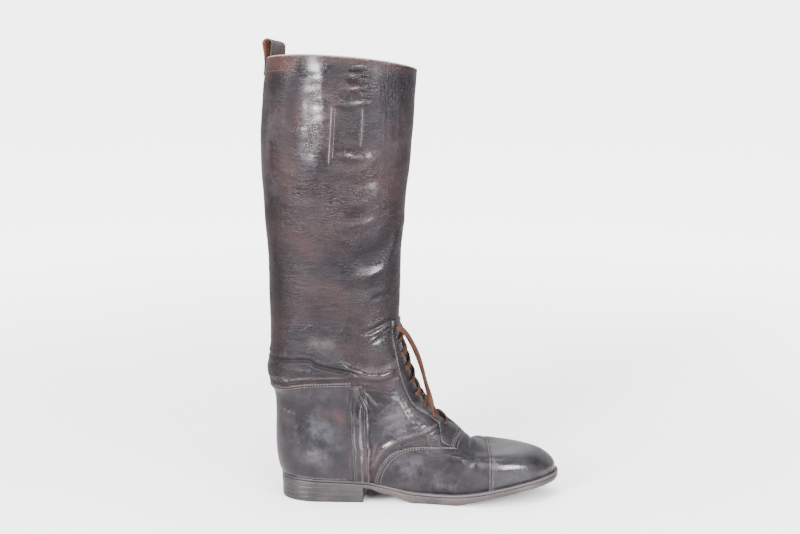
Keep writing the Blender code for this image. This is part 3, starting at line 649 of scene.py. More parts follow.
    def rise_for_z(self, x: Array, z: Array) -> Array:
        """Rise at which the lateral side stands at (x, z), found by halving.

        Args:
            x, z: places along the boot and their heights.
        Returns:
            One rise for each place.
        """
        low, high = np.zeros_like(x), np.full_like(x, self.search_top)
        for _ in range(self.halvings):
            middle = 0.5 * (low + high)
            under = self.point(self.angle_for_x(x, middle), middle)[..., 2] < z
            low, high = np.where(under, middle, low), np.where(under, high, middle)
        return low

    def rise_under(self, angle: Array, corners: Corners) -> Array:
        """Rise at each angle where the last crosses a smooth side line, found by halving.

        Args:
            angle: the angles.
            corners: (x, z) corners of the line.
        Returns:
            One rise for each angle.
        """
        low, high = np.zeros_like(angle), np.full_like(angle, self.search_top)
        for _ in range(self.halvings):
            middle = 0.5 * (low + high)
            place = self.point(angle, middle)
            under = place[..., 2] < smooth_through(*np.transpose(corners), place[..., 0])
            low, high = np.where(under, middle, low), np.where(under, high, middle)
        return low

    def ridge_rise(self, x: float) -> float:
        """Rise at which the front ridge stands at x."""
        rises = np.linspace(0.1, 0.6, 400)
        ridge = self.point(math.pi, rises)[:, 0]
        return float(np.interp(-x, -ridge, rises))

    def rises_by_length(self, count: int) -> Array:
        """Rises whose rows stand about evenly apart on the side of the boot, twice as close at the ankle.

        Args:
            count: number of rows.
        Returns:
            The rises.
        """
        fine = np.linspace(0.0, 1.0, 600)
        lines = [lengths_along(self.point(angle, fine)) for angle in (0.3, 1.4, 2.2, math.pi)]
        steps = np.diff(np.mean(lines, axis=0))
        low, high = self.ankle
        ankle = eased((fine[1:] - low) / self.ankle_fade) * eased((high - fine[1:]) / self.ankle_fade)
        passed = np.concatenate(([0.0], np.cumsum(steps * (1.0 + ankle))))
        return np.interp(np.linspace(0.0, passed[-1], count), passed, fine)


LAST = Last()

# Unevenness of the leather in millimetres. A swell has a wave length, a seed, its height on the foot and what
# the leg adds to it
LEG_BOTTOM, LEG_FADE = 130.0, 70.0
SWELLS = ((62.0, 3, 0.08, 0.50), (27.0, 8, 0.05, 0.16))
WRINKLE, WRINKLE_LEG = 0.03, 0.04
CRACKLE = 0.15


def upright_share(points: Array) -> Array:
    """Share of the wrinkles that stand upright: 1 at the front of the leg's top, 0 elsewhere."""
    return eased((points[..., 0] - 52.0) / 16.0) * eased((points[..., 2] - 300.0) / 60.0)


def crackle_share(points: Array) -> Array:
    """Share of the fine crackle: 1 in the middle of the quarters, falling off like a bell."""
    return np.exp(-((points[..., 0] - 92.0) / 34.0) ** 2 - ((points[..., 2] - 88.0) / 32.0) ** 2)


def relief(points: Array) -> Array:
    """Height of the worn leather over the smooth last: its creases and a slow unevenness of the leg.

    Args:
        points: places on the smooth last.
    Returns:
        Heights in millimetres.
    """
    leg = eased((points[..., 2] - LEG_BOTTOM) / LEG_FADE)
    upright = upright_share(points)
    uneven = CRACKLE * crackle_share(points) * waves(points, 6.0, 12)
    for length, seed, on_foot, on_leg in SWELLS:
        uneven += (on_foot + on_leg * leg) * waves(points, length, seed)
    wrinkles = (1.0 - upright) * waves(points, 9.0, 5, (0.35, 0.35, 1.0))
    wrinkles += upright * waves(points, 8.0, 6, (1.0, 1.0, 0.12))
    return stroke_sum(CREASES, points) + uneven + (WRINKLE + WRINKLE_LEG * leg) * wrinkles


@dataclass
class Skin:
    """A grid of places on the worn leather, and the values that its finish reads by attribute name."""

    points: Array
    values: dict[str, Array]


MARKS = {"scuff": SCUFFS_AND_HIGHLIGHTS, "rust": RUSTS, "haze": HAZES, "polish": SHINES}


def wear_from(edge: Array) -> Array:
    """Wear of a cut edge: 1 on the edge, gone 1.4 mm away from it."""
    return 1.0 - eased((edge - 0.15) / 1.25)


def skin_at(angle: Array, rise: Array, offset: Array | float, edge: Array | float = NO_EDGE,
            share: float = 1.0) -> Skin:
    """Worn leather at an offset from the last: last + (offset + share * relief) * normal.

    Args:
        angle, rise: places of the grid on the last.
        offset: millimetres out from the last.
        edge: millimetres from the nearest cut edge.
        share: share of the relief that the piece follows.
    Returns:
        The grid with its values.
    """
    angle, rise, offset, edge = np.broadcast_arrays(angle, rise, offset, edge)
    base = LAST.point(angle, rise)
    height = relief(base)
    points = base + (offset + share * height)[..., None] * LAST.normal(angle, rise)
    values = {name: np.clip(stroke_sum(marks, base), -1.0, 1.0) for name, marks in MARKS.items()}
    values.update(crease=height, upright=upright_share(base), wear=wear_from(edge))
    return Skin(points, values)


def on_leather(rows: Array, high: float) -> tuple[Array, Array]:
    """Places so many millimetres over the worn leather at rows of (angle, rise), and the normals there."""
    base, up = LAST.point(*rows.T), LAST.normal(*rows.T)
    return base + (high + relief(base))[:, None] * up, up


# Meshes


def grid_quads(rows: int, columns: int, closed: bool) -> Array:
    """Corner numbers of the quads of a grid of points, row by row.

    Args:
        rows, columns: number of rows, and of points in a row.
        closed: whether the last column joins the first.
    Returns:
        Four numbers for each quad.
    """
    numbers = np.arange(rows * columns).reshape(rows, columns)
    if closed:
        numbers = np.concatenate((numbers, numbers[:, :1]), axis=1)
    low, high = numbers[:-1], numbers[1:]
    return np.stack((low[:, :-1], low[:, 1:], high[:, 1:], high[:, :-1]), axis=-1).reshape(-1, 4)


@dataclass
class Piece:
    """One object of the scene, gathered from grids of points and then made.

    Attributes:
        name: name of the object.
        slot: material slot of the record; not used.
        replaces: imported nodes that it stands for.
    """

    name: str
    slot: Slot
    replaces: Sequence[str] = ()
    points: list[Array] = field(default_factory=list)
    quads: list[Array] = field(default_factory=list)
    finishes: list[Array] = field(default_factory=list)
    values: list[dict[str, Array]] = field(default_factory=list)
    count: int = 0

    def add_quads(self, points: Array, quads: Array, finish: int = 0,
                  values: Optional[dict[str, Array]] = None) -> None:
        """Add points in millimetres with quads between them.

        Args:
            points: points, one a row.
            quads: corner numbers, four a row.
            finish: number of the material.
            values: attribute values of the points.
        """
        self.points.append(points)
        self.quads.append(quads + self.count)
        self.finishes.append(np.full(len(quads), finish))
        self.values.append({} if values is None else values)
        self.count += len(points)

    def add_grid(self, points: Array, closed: bool = False, flip: bool = False, finish: int = 0,
                 values: Optional[dict[str, Array]] = None) -> None:
        """Add a grid of points as rows of quads.

        Args:
            points: (rows, columns, 3) in millimetres.
            closed: whether the last column joins the first.
            flip: whether the faces turn round.
            finish: number of the material.
            values: attribute values on the grid.
        """
        quads = grid_quads(points.shape[0], points.shape[1], closed)
        if flip:
            quads = quads[:, ::-1]
        flat = None if values is None else {name: value.reshape(-1) for name, value in values.items()}
        self.add_quads(points.reshape(-1, 3), quads, finish, flat)

    def add_between(self, first: Array, second: Array, rows: int = 2, closed: bool = False,
                    flip: bool = False, finish: int = 0) -> None:
        """Add straight rows of quads from one line of points to another: first + share * (second - first)."""
        share = np.linspace(0.0, 1.0, rows)[:, None, None]
        self.add_grid(first + share * (second - first), closed, flip, finish)

    def add_border(self, front: Array, back: Array, finish: int = 0) -> None:
        """Add the four cut edges of a sheet between the grids of its outer and its inner face."""
        borders = ((np.s_[:, 0], False), (np.s_[:, -1], True), (np.s_[0], True), (np.s_[-1], False))
        for border, flip in borders:
            self.add_between(front[border], back[border], flip=flip, finish=finish)

    def make(self, *materials: Material) -> bpy.types.Object:
        """Make the object, merge its doubled points, and put it on the boot's body.

        Args:
            materials: materials by number.
        Returns:
            The new object.
        """
        points, quads = np.concatenate(self.points), np.concatenate(self.quads)
        mesh = bpy.data.meshes.new(self.name)
        mesh.vertices.add(len(points))
        mesh.vertices.foreach_set("co", over_floor(points).astype(np.float32).ravel())
        mesh.loops.add(quads.size)
        mesh.loops.foreach_set("vertex_index", quads.astype(np.int32).ravel())
        mesh.polygons.add(len(quads))
        mesh.polygons.foreach_set("loop_start", np.arange(len(quads), dtype=np.int32) * 4)
        mesh.polygons.foreach_set("material_index", np.concatenate(self.finishes).astype(np.int32))
        names = sorted({name for part in self.values for name in part})
        for name in names:
            parts = [part.get(name, np.zeros(len(spots))) for part, spots in zip(self.values, self.points)]
            attribute = mesh.attributes.new(name, "FLOAT", "POINT")
            attribute.data.foreach_set("value", np.concatenate(parts).astype(np.float32))
        for material in materials:
            mesh.materials.append(material)
        mesh.update(calc_edges=True)
        work = bmesh.new()
        work.from_mesh(mesh)
        bmesh.ops.remove_doubles(work, verts=work.verts, dist=2e-6)
        bmesh.ops.dissolve_degenerate(work, edges=work.edges, dist=1e-7)
        work.to_mesh(mesh)
        work.free()
        mesh.shade_smooth()
        thing = bpy.data.objects.new(self.name, mesh)
        bpy.context.scene.collection.objects.link(thing)
        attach(thing, "root")
        if self.replaces:
            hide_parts(*self.replaces)
        log.info("%s: %d points, %d faces", self.name, len(mesh.vertices), len(mesh.polygons))
        return thing


def carried(path: Array, across: Array, up: Array, profile: Array, wide: Array) -> Array:
    """Profile carried along a path: path + a * wide * across + b * up for each (a, b) of the profile."""
    sideways = wide[:, None, None] * profile[:, :1] * across[:, None]
    return path[:, None] + sideways + profile[:, 1:] * up[:, None]


def rounded_strip(width: float, thick: float, corner: float = 0.45) -> Array:
    """Profile of a flat strip with half ellipses for edges and a low crown.

    Args:
        width, thick: its width and thickness.
        corner: depth of the rounded edges, as a share of the thickness.
    Returns:
        (a, b) corners from the right edge over the top to the left edge, b from 0.
    """
    middle, reach = 0.5 * thick, corner * thick
    turns = np.linspace(-0.5 * math.pi, 0.5 * math.pi, 5)
    right = np.column_stack((0.5 * width - reach + reach * np.cos(turns), middle + middle * np.sin(turns)))
    left = right[::-1] * (-1.0, 1.0)
    crown = np.array(((0.0, thick * 1.06),))
    return np.concatenate((right, crown, left))


# Shader helpers


class Graph:
    """Adds shader nodes to a tree and joins them."""

    def __init__(self, tree: bpy.types.NodeTree) -> None:
        """Keep the tree that nodes are added to."""
        self.tree = tree

    def node(self, kind: str, **settings: object) -> bpy.types.Node:
        """Add a node of Blender's kind with settings by name."""
        made = self.tree.nodes.new(kind)
        for name, value in settings.items():
            setattr(made, name, value)
        return made

    def output(self, kind: str, name: str) -> Socket:
        """Named output of a new node that has no inputs to fill."""
        return self.node(kind).outputs[name]

    def put(self, socket: Socket, value: object) -> None:
        """Join a socket to another one, or set its value.

        Args:
            socket: an input.
            value: an output, a number, or a tuple, which is a colour without alpha where the input takes one.
        """
        if isinstance(value, Socket):
            self.tree.links.new(value, socket)
        elif socket.type == "RGBA":
            socket.default_value = (*value, 1.0)
        else:
            socket.default_value = value

    def fill(self, node: bpy.types.Node, values: dict[str | int, object]) -> bpy.types.Node:
        """Fill inputs of a node, by their names or numbers, and give the node back."""
        for key, value in values.items():
            self.put(node.inputs[key], value)
        return node

    def math(self, operation: str, *values: object, clamp: bool = False) -> Socket:
        """Result of a Math node."""
        made = self.node("ShaderNodeMath", operation=operation, use_clamp=clamp)
        return self.fill(made, dict(enumerate(values))).outputs[0]

    def times(self, first: object, second: object, clamp: bool = False) -> Socket:
        """Product of two values."""
        return self.math("MULTIPLY", first, second, clamp=clamp)

    def vector(self, operation: str, *values: object) -> Socket:
        """Result of a Vector Math node."""
        made = self.node("ShaderNodeVectorMath", operation=operation)
        return self.fill(made, dict(enumerate(values))).outputs[0]

    def blend(self, share: object, first: object, second: object) -> Socket:
        """Colour between two colours."""
        made = self.node("ShaderNodeMix", data_type="RGBA")
        return self.fill(made, {0: share, 6: first, 7: second}).outputs[2]

    def between(self, share: object, first: object, second: object) -> Socket:
        """Value between two values."""
        made = self.node("ShaderNodeMix", data_type="FLOAT")
        return self.fill(made, {0: share, 2: first, 3: second}).outputs[0]

    def span(self, value: object, low: float, high: float, to_low: float = 0.0,
             to_high: float = 1.0) -> Socket:
        """Value taken smoothly from one range to another."""
        ends = {"From Min": low, "From Max": high, "To Min": to_low, "To Max": to_high}
        made = self.node("ShaderNodeMapRange", interpolation_type="SMOOTHSTEP")
        return self.fill(made, {"Value": value, **ends}).outputs[0]

    def noise(self, place: Socket, scale: float, detail: float = 2.0, rough: float = 0.5) -> Socket:
        """Noise value at a place."""
        values = {"Vector": place, "Scale": scale, "Detail": detail, "Roughness": rough}
        return self.fill(self.node("ShaderNodeTexNoise"), values).outputs[0]

    def attribute(self, name: str) -> Socket:
        """Value of a mesh attribute."""
        return self.node("ShaderNodeAttribute", attribute_name=name).outputs["Fac"]


def new_material(name: str) -> tuple[Material, Graph, bpy.types.Node]:
    """Start a material, and give it back with a graph that adds to it and with its shader."""
    material = bpy.data.materials.new(name)
    material.use_nodes = True
    return material, Graph(material.node_tree), material.node_tree.nodes["Principled BSDF"]


class GroupMaker:
    """Starts a shader node group with named inputs and outputs."""

    def __init__(self, name: str, inputs: dict[str, str], outputs: dict[str, str]) -> None:
        """Make the group's tree and its sockets.

        Args:
            name: name of the group.
            inputs, outputs: kinds of its sockets by name.
        """
        self.tree = bpy.data.node_groups.new(name, "ShaderNodeTree")
        for way, sockets in (("INPUT", inputs), ("OUTPUT", outputs)):
            for label, kind in sockets.items():
                self.tree.interface.new_socket(label, in_out=way, socket_type=kind)
        self.graph = Graph(self.tree)
        self.source = self.graph.node("NodeGroupInput").outputs
        self.target = self.graph.node("NodeGroupOutput")


FLOAT, COLOUR, VECTOR = "NodeSocketFloat", "NodeSocketColor", "NodeSocketVector"
PEBBLES_PER_METRE = 520.0
# Grey of the haze: old wax, and also painted sheen where the leather would reflect light
WAX_AND_SHEEN_GREY = (0.053, 0.050, 0.0575)
WAX_ROUGHNESS = 0.18
SHEEN_TINT = (0.94, 0.92, 1.0)
INK_TONES = ((0.008, 0.0072, 0.0077), (0.022, 0.018, 0.0185))


def make_grain_group() -> bpy.types.NodeTree:
    """Grain of a worn hide: fine pebbles between edge lines and drawn-out wrinkles that lie or stand.

    Returns:
        The group, with the height of the grain and a mask of its low lines.
    """
    maker = GroupMaker("hide_grain", {"Place": VECTOR, "Pebble": FLOAT, "Wrinkle": FLOAT, "Upright": FLOAT},
                       {"Height": FLOAT, "Lows": FLOAT})
    graph, source = maker.graph, maker.source
    warp = graph.fill(graph.node("ShaderNodeTexNoise"), {"Vector": source["Place"], "Scale": 90.0})
    centred = graph.vector("SUBTRACT", warp.outputs["Color"], (0.5, 0.5, 0.5))
    shift = graph.fill(graph.node("ShaderNodeVectorMath", operation="SCALE"), {0: centred, "Scale": 0.006})
    place = graph.vector("ADD", source["Place"], shift.outputs[0])
    pebbles = graph.fill(graph.node("ShaderNodeTexVoronoi", feature="DISTANCE_TO_EDGE"),
                         {"Vector": place, "Scale": PEBBLES_PER_METRE})
    pebble = graph.span(pebbles.outputs["Distance"], 0.0, 0.32)
    lying = graph.noise(graph.vector("MULTIPLY", place, (0.30, 0.30, 1.4)), 150.0, 3.0, 0.55)
    standing = graph.noise(graph.vector("MULTIPLY", place, (1.5, 1.5, 0.2)), 150.0, 3.0, 0.55)
    folds = graph.between(source["Upright"], lying, standing)
    ridged = graph.math("ABSOLUTE", graph.math("SUBTRACT", graph.times(folds, 2.0), 1.0))
    wrinkle = graph.math("POWER", graph.times(ridged, 2.2, clamp=True), 0.7)
    patchy = graph.span(graph.noise(source["Place"], 22.0, 2.0), 0.38, 0.62, 0.35, 1.0)
    bumps = graph.times(graph.times(wrinkle, source["Wrinkle"]), patchy)
    height = graph.math("ADD", graph.times(pebble, source["Pebble"]), bumps)
    graph.fill(maker.target, {"Height": height, "Lows": graph.math("SUBTRACT", 1.0, pebble)})
    return maker.tree


def make_patina_group() -> bpy.types.NodeTree:
    """Colour and gloss of old polish: dark and brown clouds, red-brown worn patches, grey wax haze that is
    partly painted sheen, pale scuffs that are partly painted highlights on crests, wear along cut edges with
    painted highlights on the strap's fold crests, and duller troughs darkened by painted shade.

    Returns:
        The group, with a colour and a roughness.
    """
    values = ("Crease", "Scuff", "Rust", "Haze", "Polish", "Wear", "Lows", "Gloss", "Bloom")
    inputs = {"Place": VECTOR, **dict.fromkeys(("Dark", "Brown", "Red", "Pale"), COLOUR)}
    maker = GroupMaker("old_polish", {**inputs, **dict.fromkeys(values, FLOAT)},
                       {"Colour": COLOUR, "Roughness": FLOAT})
    graph, source = maker.graph, maker.source
    place = source["Place"]
    clouds = graph.span(graph.noise(place, 16.0, 4.0, 0.6), 0.36, 0.66)
    colour = graph.blend(clouds, source["Dark"], source["Brown"])
    speckle = graph.noise(place, 240.0, 3.0, 0.7)
    rusty = graph.times(source["Rust"], graph.span(speckle, 0.25, 0.75, 0.55, 0.9))
    veil = graph.times(graph.span(graph.noise(place, 26.0, 3.0, 0.6), 0.56, 0.78), 0.22)
    colour = graph.blend(graph.math("MAXIMUM", rusty, veil), colour, source["Red"])
    # Painted shade: colour darkened towards the dark tone in the troughs of creases.
    trough = graph.span(source["Crease"], -1.8, -0.4, 0.55, 0.0)
    colour = graph.blend(trough, colour, source["Dark"])
    # Grey haze in cloudy patches: old wax, and partly painted sheen where the leather reflects light
    cloudy = graph.span(graph.noise(place, 40.0, 6.0, 0.7), 0.38, 0.68)
    haze = graph.times(cloudy, graph.math("ADD", source["Haze"], source["Bloom"], clamp=True))
    colour = graph.blend(haze, colour, WAX_AND_SHEEN_GREY)
    # Pale wear along cut edges, which on the strap's fold crests is also a painted highlight
    rubbed_and_lit = graph.times(source["Wear"], graph.span(graph.noise(place, 120.0, 2.0), 0.35, 0.7, 0.1, 0.5))
    colour = graph.blend(rubbed_and_lit, colour, source["Pale"])
    # Pale scuffs, and pale lines painted as highlights on fold and piping crests
    scratch = graph.noise(place, 260.0, 3.0, 0.65)
    scuffed_and_lit = graph.times(source["Scuff"], graph.span(scratch, 0.35, 0.62, 0.35, 1.0))
    colour = graph.blend(scuffed_and_lit, colour, source["Pale"])
    colour = graph.blend(graph.times(source["Lows"], 0.14), colour, source["Dark"])
    uneven = graph.span(graph.noise(place, 48.0, 3.0, 0.6), 0.3, 0.7, -0.07, 0.10)
    rough = graph.math("ADD", source["Gloss"], uneven)
    rough = graph.math("ADD", rough, graph.times(graph.math("MAXIMUM", scuffed_and_lit, rubbed_and_lit), 0.25))
    rough = graph.math("ADD", rough, graph.times(source["Rust"], 0.05))
    rough = graph.math("SUBTRACT", rough, graph.times(source["Polish"], 0.2))
    dull = graph.span(source["Crease"], -1.6, -0.5, 0.18, 0.0)
    rough = graph.math("ADD", rough, dull, clamp=True)
    graph.fill(maker.target, {"Colour": colour, "Roughness": rough})
    return maker.tree


GRAIN, PATINA = make_grain_group(), make_patina_group()


@dataclass(frozen=True)
class Leather:
    """Finish of a polished and worn leather.

    Attributes:
        name: name of the material.
        dark, brown, red, pale: colours of its patina, in linear light.
        gloss: middle roughness.
        pebble, wrinkle: heights of grain and wrinkles.
        bump: depth of the grain in millimetres.
        shine: specular level.
        coat: weight of the wax on its polished places.
        bloom: share of the grey haze, partly old wax and partly painted sheen, laid in patches.
    """

    name: str
    dark: Triple
    brown: Triple
    wrinkle: float
    pebble: float
    bump: float
    gloss: float
    shine: float
    coat: float
    bloom: float
    red: Triple = (0.046, 0.017, 0.013)
    pale: Triple = (0.13, 0.10, 0.09)

    def make(self) -> Material:
        """Build the material: grain to bump, old polish to colour and roughness, wax where rubbing has
        polished it.

        Returns:
            The material.
        """
        material, graph, shader = new_material(self.name)
        place = graph.output("ShaderNodeTexCoord", "Object")
        grain = graph.fill(graph.node("ShaderNodeGroup", node_tree=GRAIN), {
            "Place": place, "Pebble": self.pebble, "Wrinkle": self.wrinkle,
            "Upright": graph.attribute("upright")})
        worn = {name.title(): graph.attribute(name) for name in ("crease", "wear", *MARKS)}
        polish = graph.fill(graph.node("ShaderNodeGroup", node_tree=PATINA), {
            "Place": place, "Dark": self.dark, "Brown": self.brown, "Red": self.red, "Pale": self.pale,
            "Lows": grain.outputs["Lows"], "Gloss": self.gloss, "Bloom": self.bloom, **worn})
        smoothed = graph.times(grain.outputs["Height"], graph.span(worn["Polish"], 0.0, 1.0, 1.0, 0.5))
        bump = graph.fill(graph.node("ShaderNodeBump"),
                          {"Strength": 1.0, "Distance": self.bump * MM, "Height": smoothed})
        graph.fill(shader, {
            "Base Color": polish.outputs["Colour"], "Roughness": polish.outputs["Roughness"],
            "Normal": bump.outputs["Normal"], "Specular IOR Level": self.shine, "Specular Tint": SHEEN_TINT,
            "Coat Weight": graph.times(worn["Polish"], self.coat, clamp=True),
            "Coat Roughness": WAX_ROUGHNESS})
        return material


@dataclass(frozen=True)
class Plain:
    """Finish of unpolished leather, thread or a cut edge: two tones in clouds, fine fibres and dark ink.

    Attributes:
        name: name of the material.
        first, second: its two tones, in linear light.
        rough: roughness.
        scale: size of the clouds, per metre.
        bump: depth of the fibres in millimetres.
        stretch: how the fibres are drawn out along X, Y and Z.
        shine: specular level.
    """

    name: str
    first: Triple
    second: Triple
    rough: float
    scale: float = 60.0
    bump: float = 0.2
    stretch: Triple = (1.0, 1.0, 1.0)
    shine: float = 0.5

    def make(self) -> Material:
        """Build the material: noise clouds to colour, drawn-out noise to bump and roughness.

        Returns:
            The material.
        """
        material, graph, shader = new_material(self.name)
        place = graph.output("ShaderNodeTexCoord", "Object")
        clouds = graph.span(graph.noise(place, self.scale, 4.0, 0.65), 0.3, 0.7)
        fibres = graph.noise(graph.vector("MULTIPLY", place, self.stretch), 700.0, 3.0, 0.6)
        darker = tuple(0.55 * part for part in self.first)
        tone = graph.blend(clouds, self.first, self.second)
        tone = graph.blend(graph.span(fibres, 0.55, 0.2, 0.0, 0.5), tone, darker)
        tone = graph.blend(graph.times(graph.attribute("wear"), 0.6), tone, self.second)
        tone = graph.blend(graph.attribute("ink"), tone, graph.blend(clouds, *INK_TONES))
        bump = graph.fill(graph.node("ShaderNodeBump"), {"Distance": self.bump * MM, "Height": fibres})
        graph.fill(shader, {
            "Base Color": tone, "Normal": bump.outputs["Normal"], "Specular IOR Level": self.shine,
            "Roughness": graph.span(fibres, 0.2, 0.8, self.rough + 0.1, self.rough - 0.1)})
        return material


# The boot's finishes
FINISHES = (
    Leather("leg_leather", (0.0045, 0.0037, 0.0042), (0.0155, 0.0086, 0.0082), wrinkle=0.75, pebble=0.3,
            bump=0.52, gloss=0.37, shine=0.28, coat=1.0, bloom=0.04),
    Leather("foot_leather", (0.0046, 0.0042, 0.0050), (0.0108, 0.0082, 0.0084), wrinkle=0.45, pebble=0.25,
            bump=0.26, gloss=0.32, shine=0.28, coat=0.8, bloom=0.2),
    Leather("cap_leather", (0.007, 0.0064, 0.0075), (0.015, 0.0126, 0.0134), wrinkle=0.2, pebble=0.2,
            bump=0.16, gloss=0.27, shine=0.48, coat=0.75, bloom=0.24),
    Leather("counter_leather", (0.0048, 0.0043, 0.0050), (0.0125, 0.0092, 0.0094), wrinkle=0.3, pebble=0.25,
            bump=0.2, gloss=0.33, shine=0.4, coat=0.5, bloom=0.08, red=(0.030, 0.0105, 0.0092)),
    # The strap's lighter pale also paints highlights along its fold crests, as well as their wear
    Leather("strap_leather", (0.0046, 0.0042, 0.0050), (0.0110, 0.0082, 0.0084), wrinkle=0.4, pebble=0.2,
            bump=0.2, gloss=0.34, shine=0.28, coat=0.8, bloom=0.1, pale=(0.24, 0.20, 0.195)),
    Leather("tongue_leather", (0.004, 0.0034, 0.0034), (0.008, 0.006, 0.0055), wrinkle=0.4, pebble=0.3,
            bump=0.2, gloss=0.62, shine=0.12, coat=0.0, bloom=0.0),
    # Near black for strips and discs that paint the shade in pressed lines and lace holes
    Plain("painted_shade_dark", (0.003, 0.002, 0.002), (0.006, 0.004, 0.004), 0.9),
    Plain("lace_thong", (0.013, 0.0044, 0.0022), (0.043, 0.0148, 0.0072), 0.65, 90.0, 0.3, shine=0.2),
    Plain("thread", (0.034, 0.030, 0.031), (0.09, 0.082, 0.083), 0.5, 70.0, 0.1),
    Plain("pale_thread", (0.07, 0.057, 0.054), (0.16, 0.135, 0.128), 0.55, 70.0, 0.1),
    Plain("welt_leather", (0.014, 0.0124, 0.0130), (0.054, 0.047, 0.048), 0.36, 40.0, 0.25, (1.0, 1.0, 3.0)),
    Plain("sole_leather", (0.016, 0.0118, 0.0118), (0.056, 0.0385, 0.037), 0.4, 30.0, 0.25, (0.4, 0.4, 3.0)),
    Plain("heel_leather", (0.0075, 0.0068, 0.0075), (0.026, 0.022, 0.023), 0.36, 30.0, 0.2, (0.4, 0.4, 3.0)),
    Plain("cut_edge", (0.09, 0.05, 0.035), (0.22, 0.15, 0.12), 0.6, 50.0, 0.2),
    Plain("collar_facing", (0.055, 0.020, 0.015), (0.10, 0.042, 0.03), 0.4, 26.0, 0.2),
    Plain("lining_leather", (0.15, 0.06, 0.028), (0.27, 0.12, 0.06), 0.6, 18.0, 0.2),
    Plain("loop_leather", (0.022, 0.0175, 0.016), (0.050, 0.041, 0.038), 0.55, 70.0, 0.3),
    Plain("loop_edge", (0.022, 0.011, 0.008), (0.055, 0.028, 0.019), 0.6, 90.0, 0.2),
)
Paints = dict[str, Material]


# Sub-assemblies


class Edge(Enum):
    """Borders of a panel."""

    START = 0
    END = 1
    FIRST = 2
    LAST = 3


@dataclass
class Panel:
    """Leather panel between two lines of the last's chart, rolled down at its cut edges.

    A place is (1 - v) * start(u) + v * end(u) in (angle, rise). Its offset from the last is the full height
    inside and falls like a quarter circle to just under the wall at a cut edge.

    Attributes:
        name: name of the piece and of the node that it replaces.
        start, end: (angle, rise) rows of the two lines.
        cut: borders that are cut edges.
        high: height of its face over the last.
        steps, along: rows across it and columns along it.
        slot: material slot of the record.
        roll: width of the rolled edge.
        sunk: height of the foot of a cut edge.
        worn, rubbed_and_lit: wear on cut edges, and paleness on high folds that is wear and painted
            highlight.
        extra: further height, from the share across and the place.
    """

    name: str
    start: Array
    end: Array
    cut: Sequence[Edge]
    high: float = 1.6
    steps: int = 60
    along: int = 200
    slot: Slot = Slot.FOOT
    roll: float = 1.1
    sunk: float = -0.3
    worn: float = 0.6
    # Paleness of high fold crests: wear, and a painted highlight
    rubbed_and_lit: float = 0.7
    extra: Optional[Callable[[Array, Array], Array]] = None

    def line(self, rows: Array) -> Array:
        """A chart line read again at even lengths on the last, closer at its ends."""
        lengths = lengths_along(LAST.point(rows[:, 0], rows[:, 1]))
        shares = spread_ends(self.along, 1.0 / lengths[-1:])[:, 0]
        return respaced(rows, lengths, shares * lengths[-1])

    def chart(self) -> tuple[Array, Array, Array]:
        """Grid of the chart with rows closer at both borders.

        Returns:
            The chart's grid of (angle, rise), the lengths across from the start line, and the widths.
        """
        start, end = self.line(self.start), self.line(self.end)
        fine = np.linspace(0.0, 1.0, 24)[:, None]
        places = start + fine[..., None] * (end - start)
        spots = LAST.point(places[..., 0], places[..., 1])
        across = np.concatenate((np.zeros((1, self.along)),
                                 np.cumsum(np.linalg.norm(np.diff(spots, axis=0), axis=-1), axis=0)))
        width = across[-1]
        share = spread_ends(self.steps, 1.0 / np.maximum(width, 3.0))
        passed = across / np.maximum(width, 1e-6)
        v = read_columns(share, passed, np.broadcast_to(fine, passed.shape))
        grid = start + v[..., None] * (end - start)
        return grid, share * width, width

    def inset_line(self, edge: Edge, inset: float, count: int = 240) -> Array:
        """Chart line that runs so many millimetres inside the start or end line.

        Args:
            edge: Edge.START or Edge.END.
            inset: distance from it.
            count: points of the line.
        Returns:
            Rows of (angle, rise).
        """
        grid, across, width = self.chart()
        wanted = np.full((1, self.along), inset) if edge is Edge.START else (width - inset)[None]
        rows = np.column_stack([read_columns(wanted, across, grid[..., part])[0] for part in (0, 1)])
        lengths = lengths_along(LAST.point(rows[:, 0], rows[:, 1]))
        return respaced(rows, lengths, np.linspace(0.0, lengths[-1], count))

    def build(self, leather: Material) -> None:
        """Make the panel's mesh and dress it.

        Args:
            leather: its finish.
        """
        grid, across, width = self.chart()
        angle, rise = grid[..., 0], grid[..., 1]
        spots = LAST.point(angle, rise)
        steps = np.linalg.norm(np.diff(spots, axis=1), axis=-1)
        passed = np.concatenate((np.zeros((self.steps, 1)), np.cumsum(steps, axis=1)), axis=1)
        distance = {Edge.START: across, Edge.END: width - across, Edge.FIRST: passed,
                    Edge.LAST: passed[:, -1:] - passed}
        edge = np.full(across.shape, NO_EDGE)
        for border in self.cut:
            edge = np.minimum(edge, distance[border])
        share = np.clip(edge / self.roll, 0.0, 1.0)
        offset = self.sunk + (self.high - self.sunk) * np.sqrt(1.0 - (1.0 - share) ** 2)
        folds = np.zeros(across.shape)
        if self.extra is not None:
            folds = self.extra(across / np.maximum(width, 1e-6), spots) * eased(edge / 1.5)
        skin = skin_at(angle, rise, offset + folds, edge)
        # Pale on the high crests of the folds: wear, and a painted highlight where the crests catch the light
        high_folds = eased((folds - 0.85) / 0.5)
        skin.values["wear"] = np.maximum(self.worn * skin.values["wear"], self.rubbed_and_lit * high_folds)
        round_way, up_way = np.diff(skin.points, axis=1), np.diff(skin.points, axis=0)
        facing = np.cross(round_way[:-1], up_way[:, :-1])
        outward = LAST.normal(angle[:-1, :-1], rise[:-1, :-1])
        piece = Piece(f"{self.name}_panel", self.slot, (self.name,))
        piece.add_grid(skin.points, flip=bool(np.sum(facing * outward) < 0.0), values=skin.values)
        piece.make(leather)


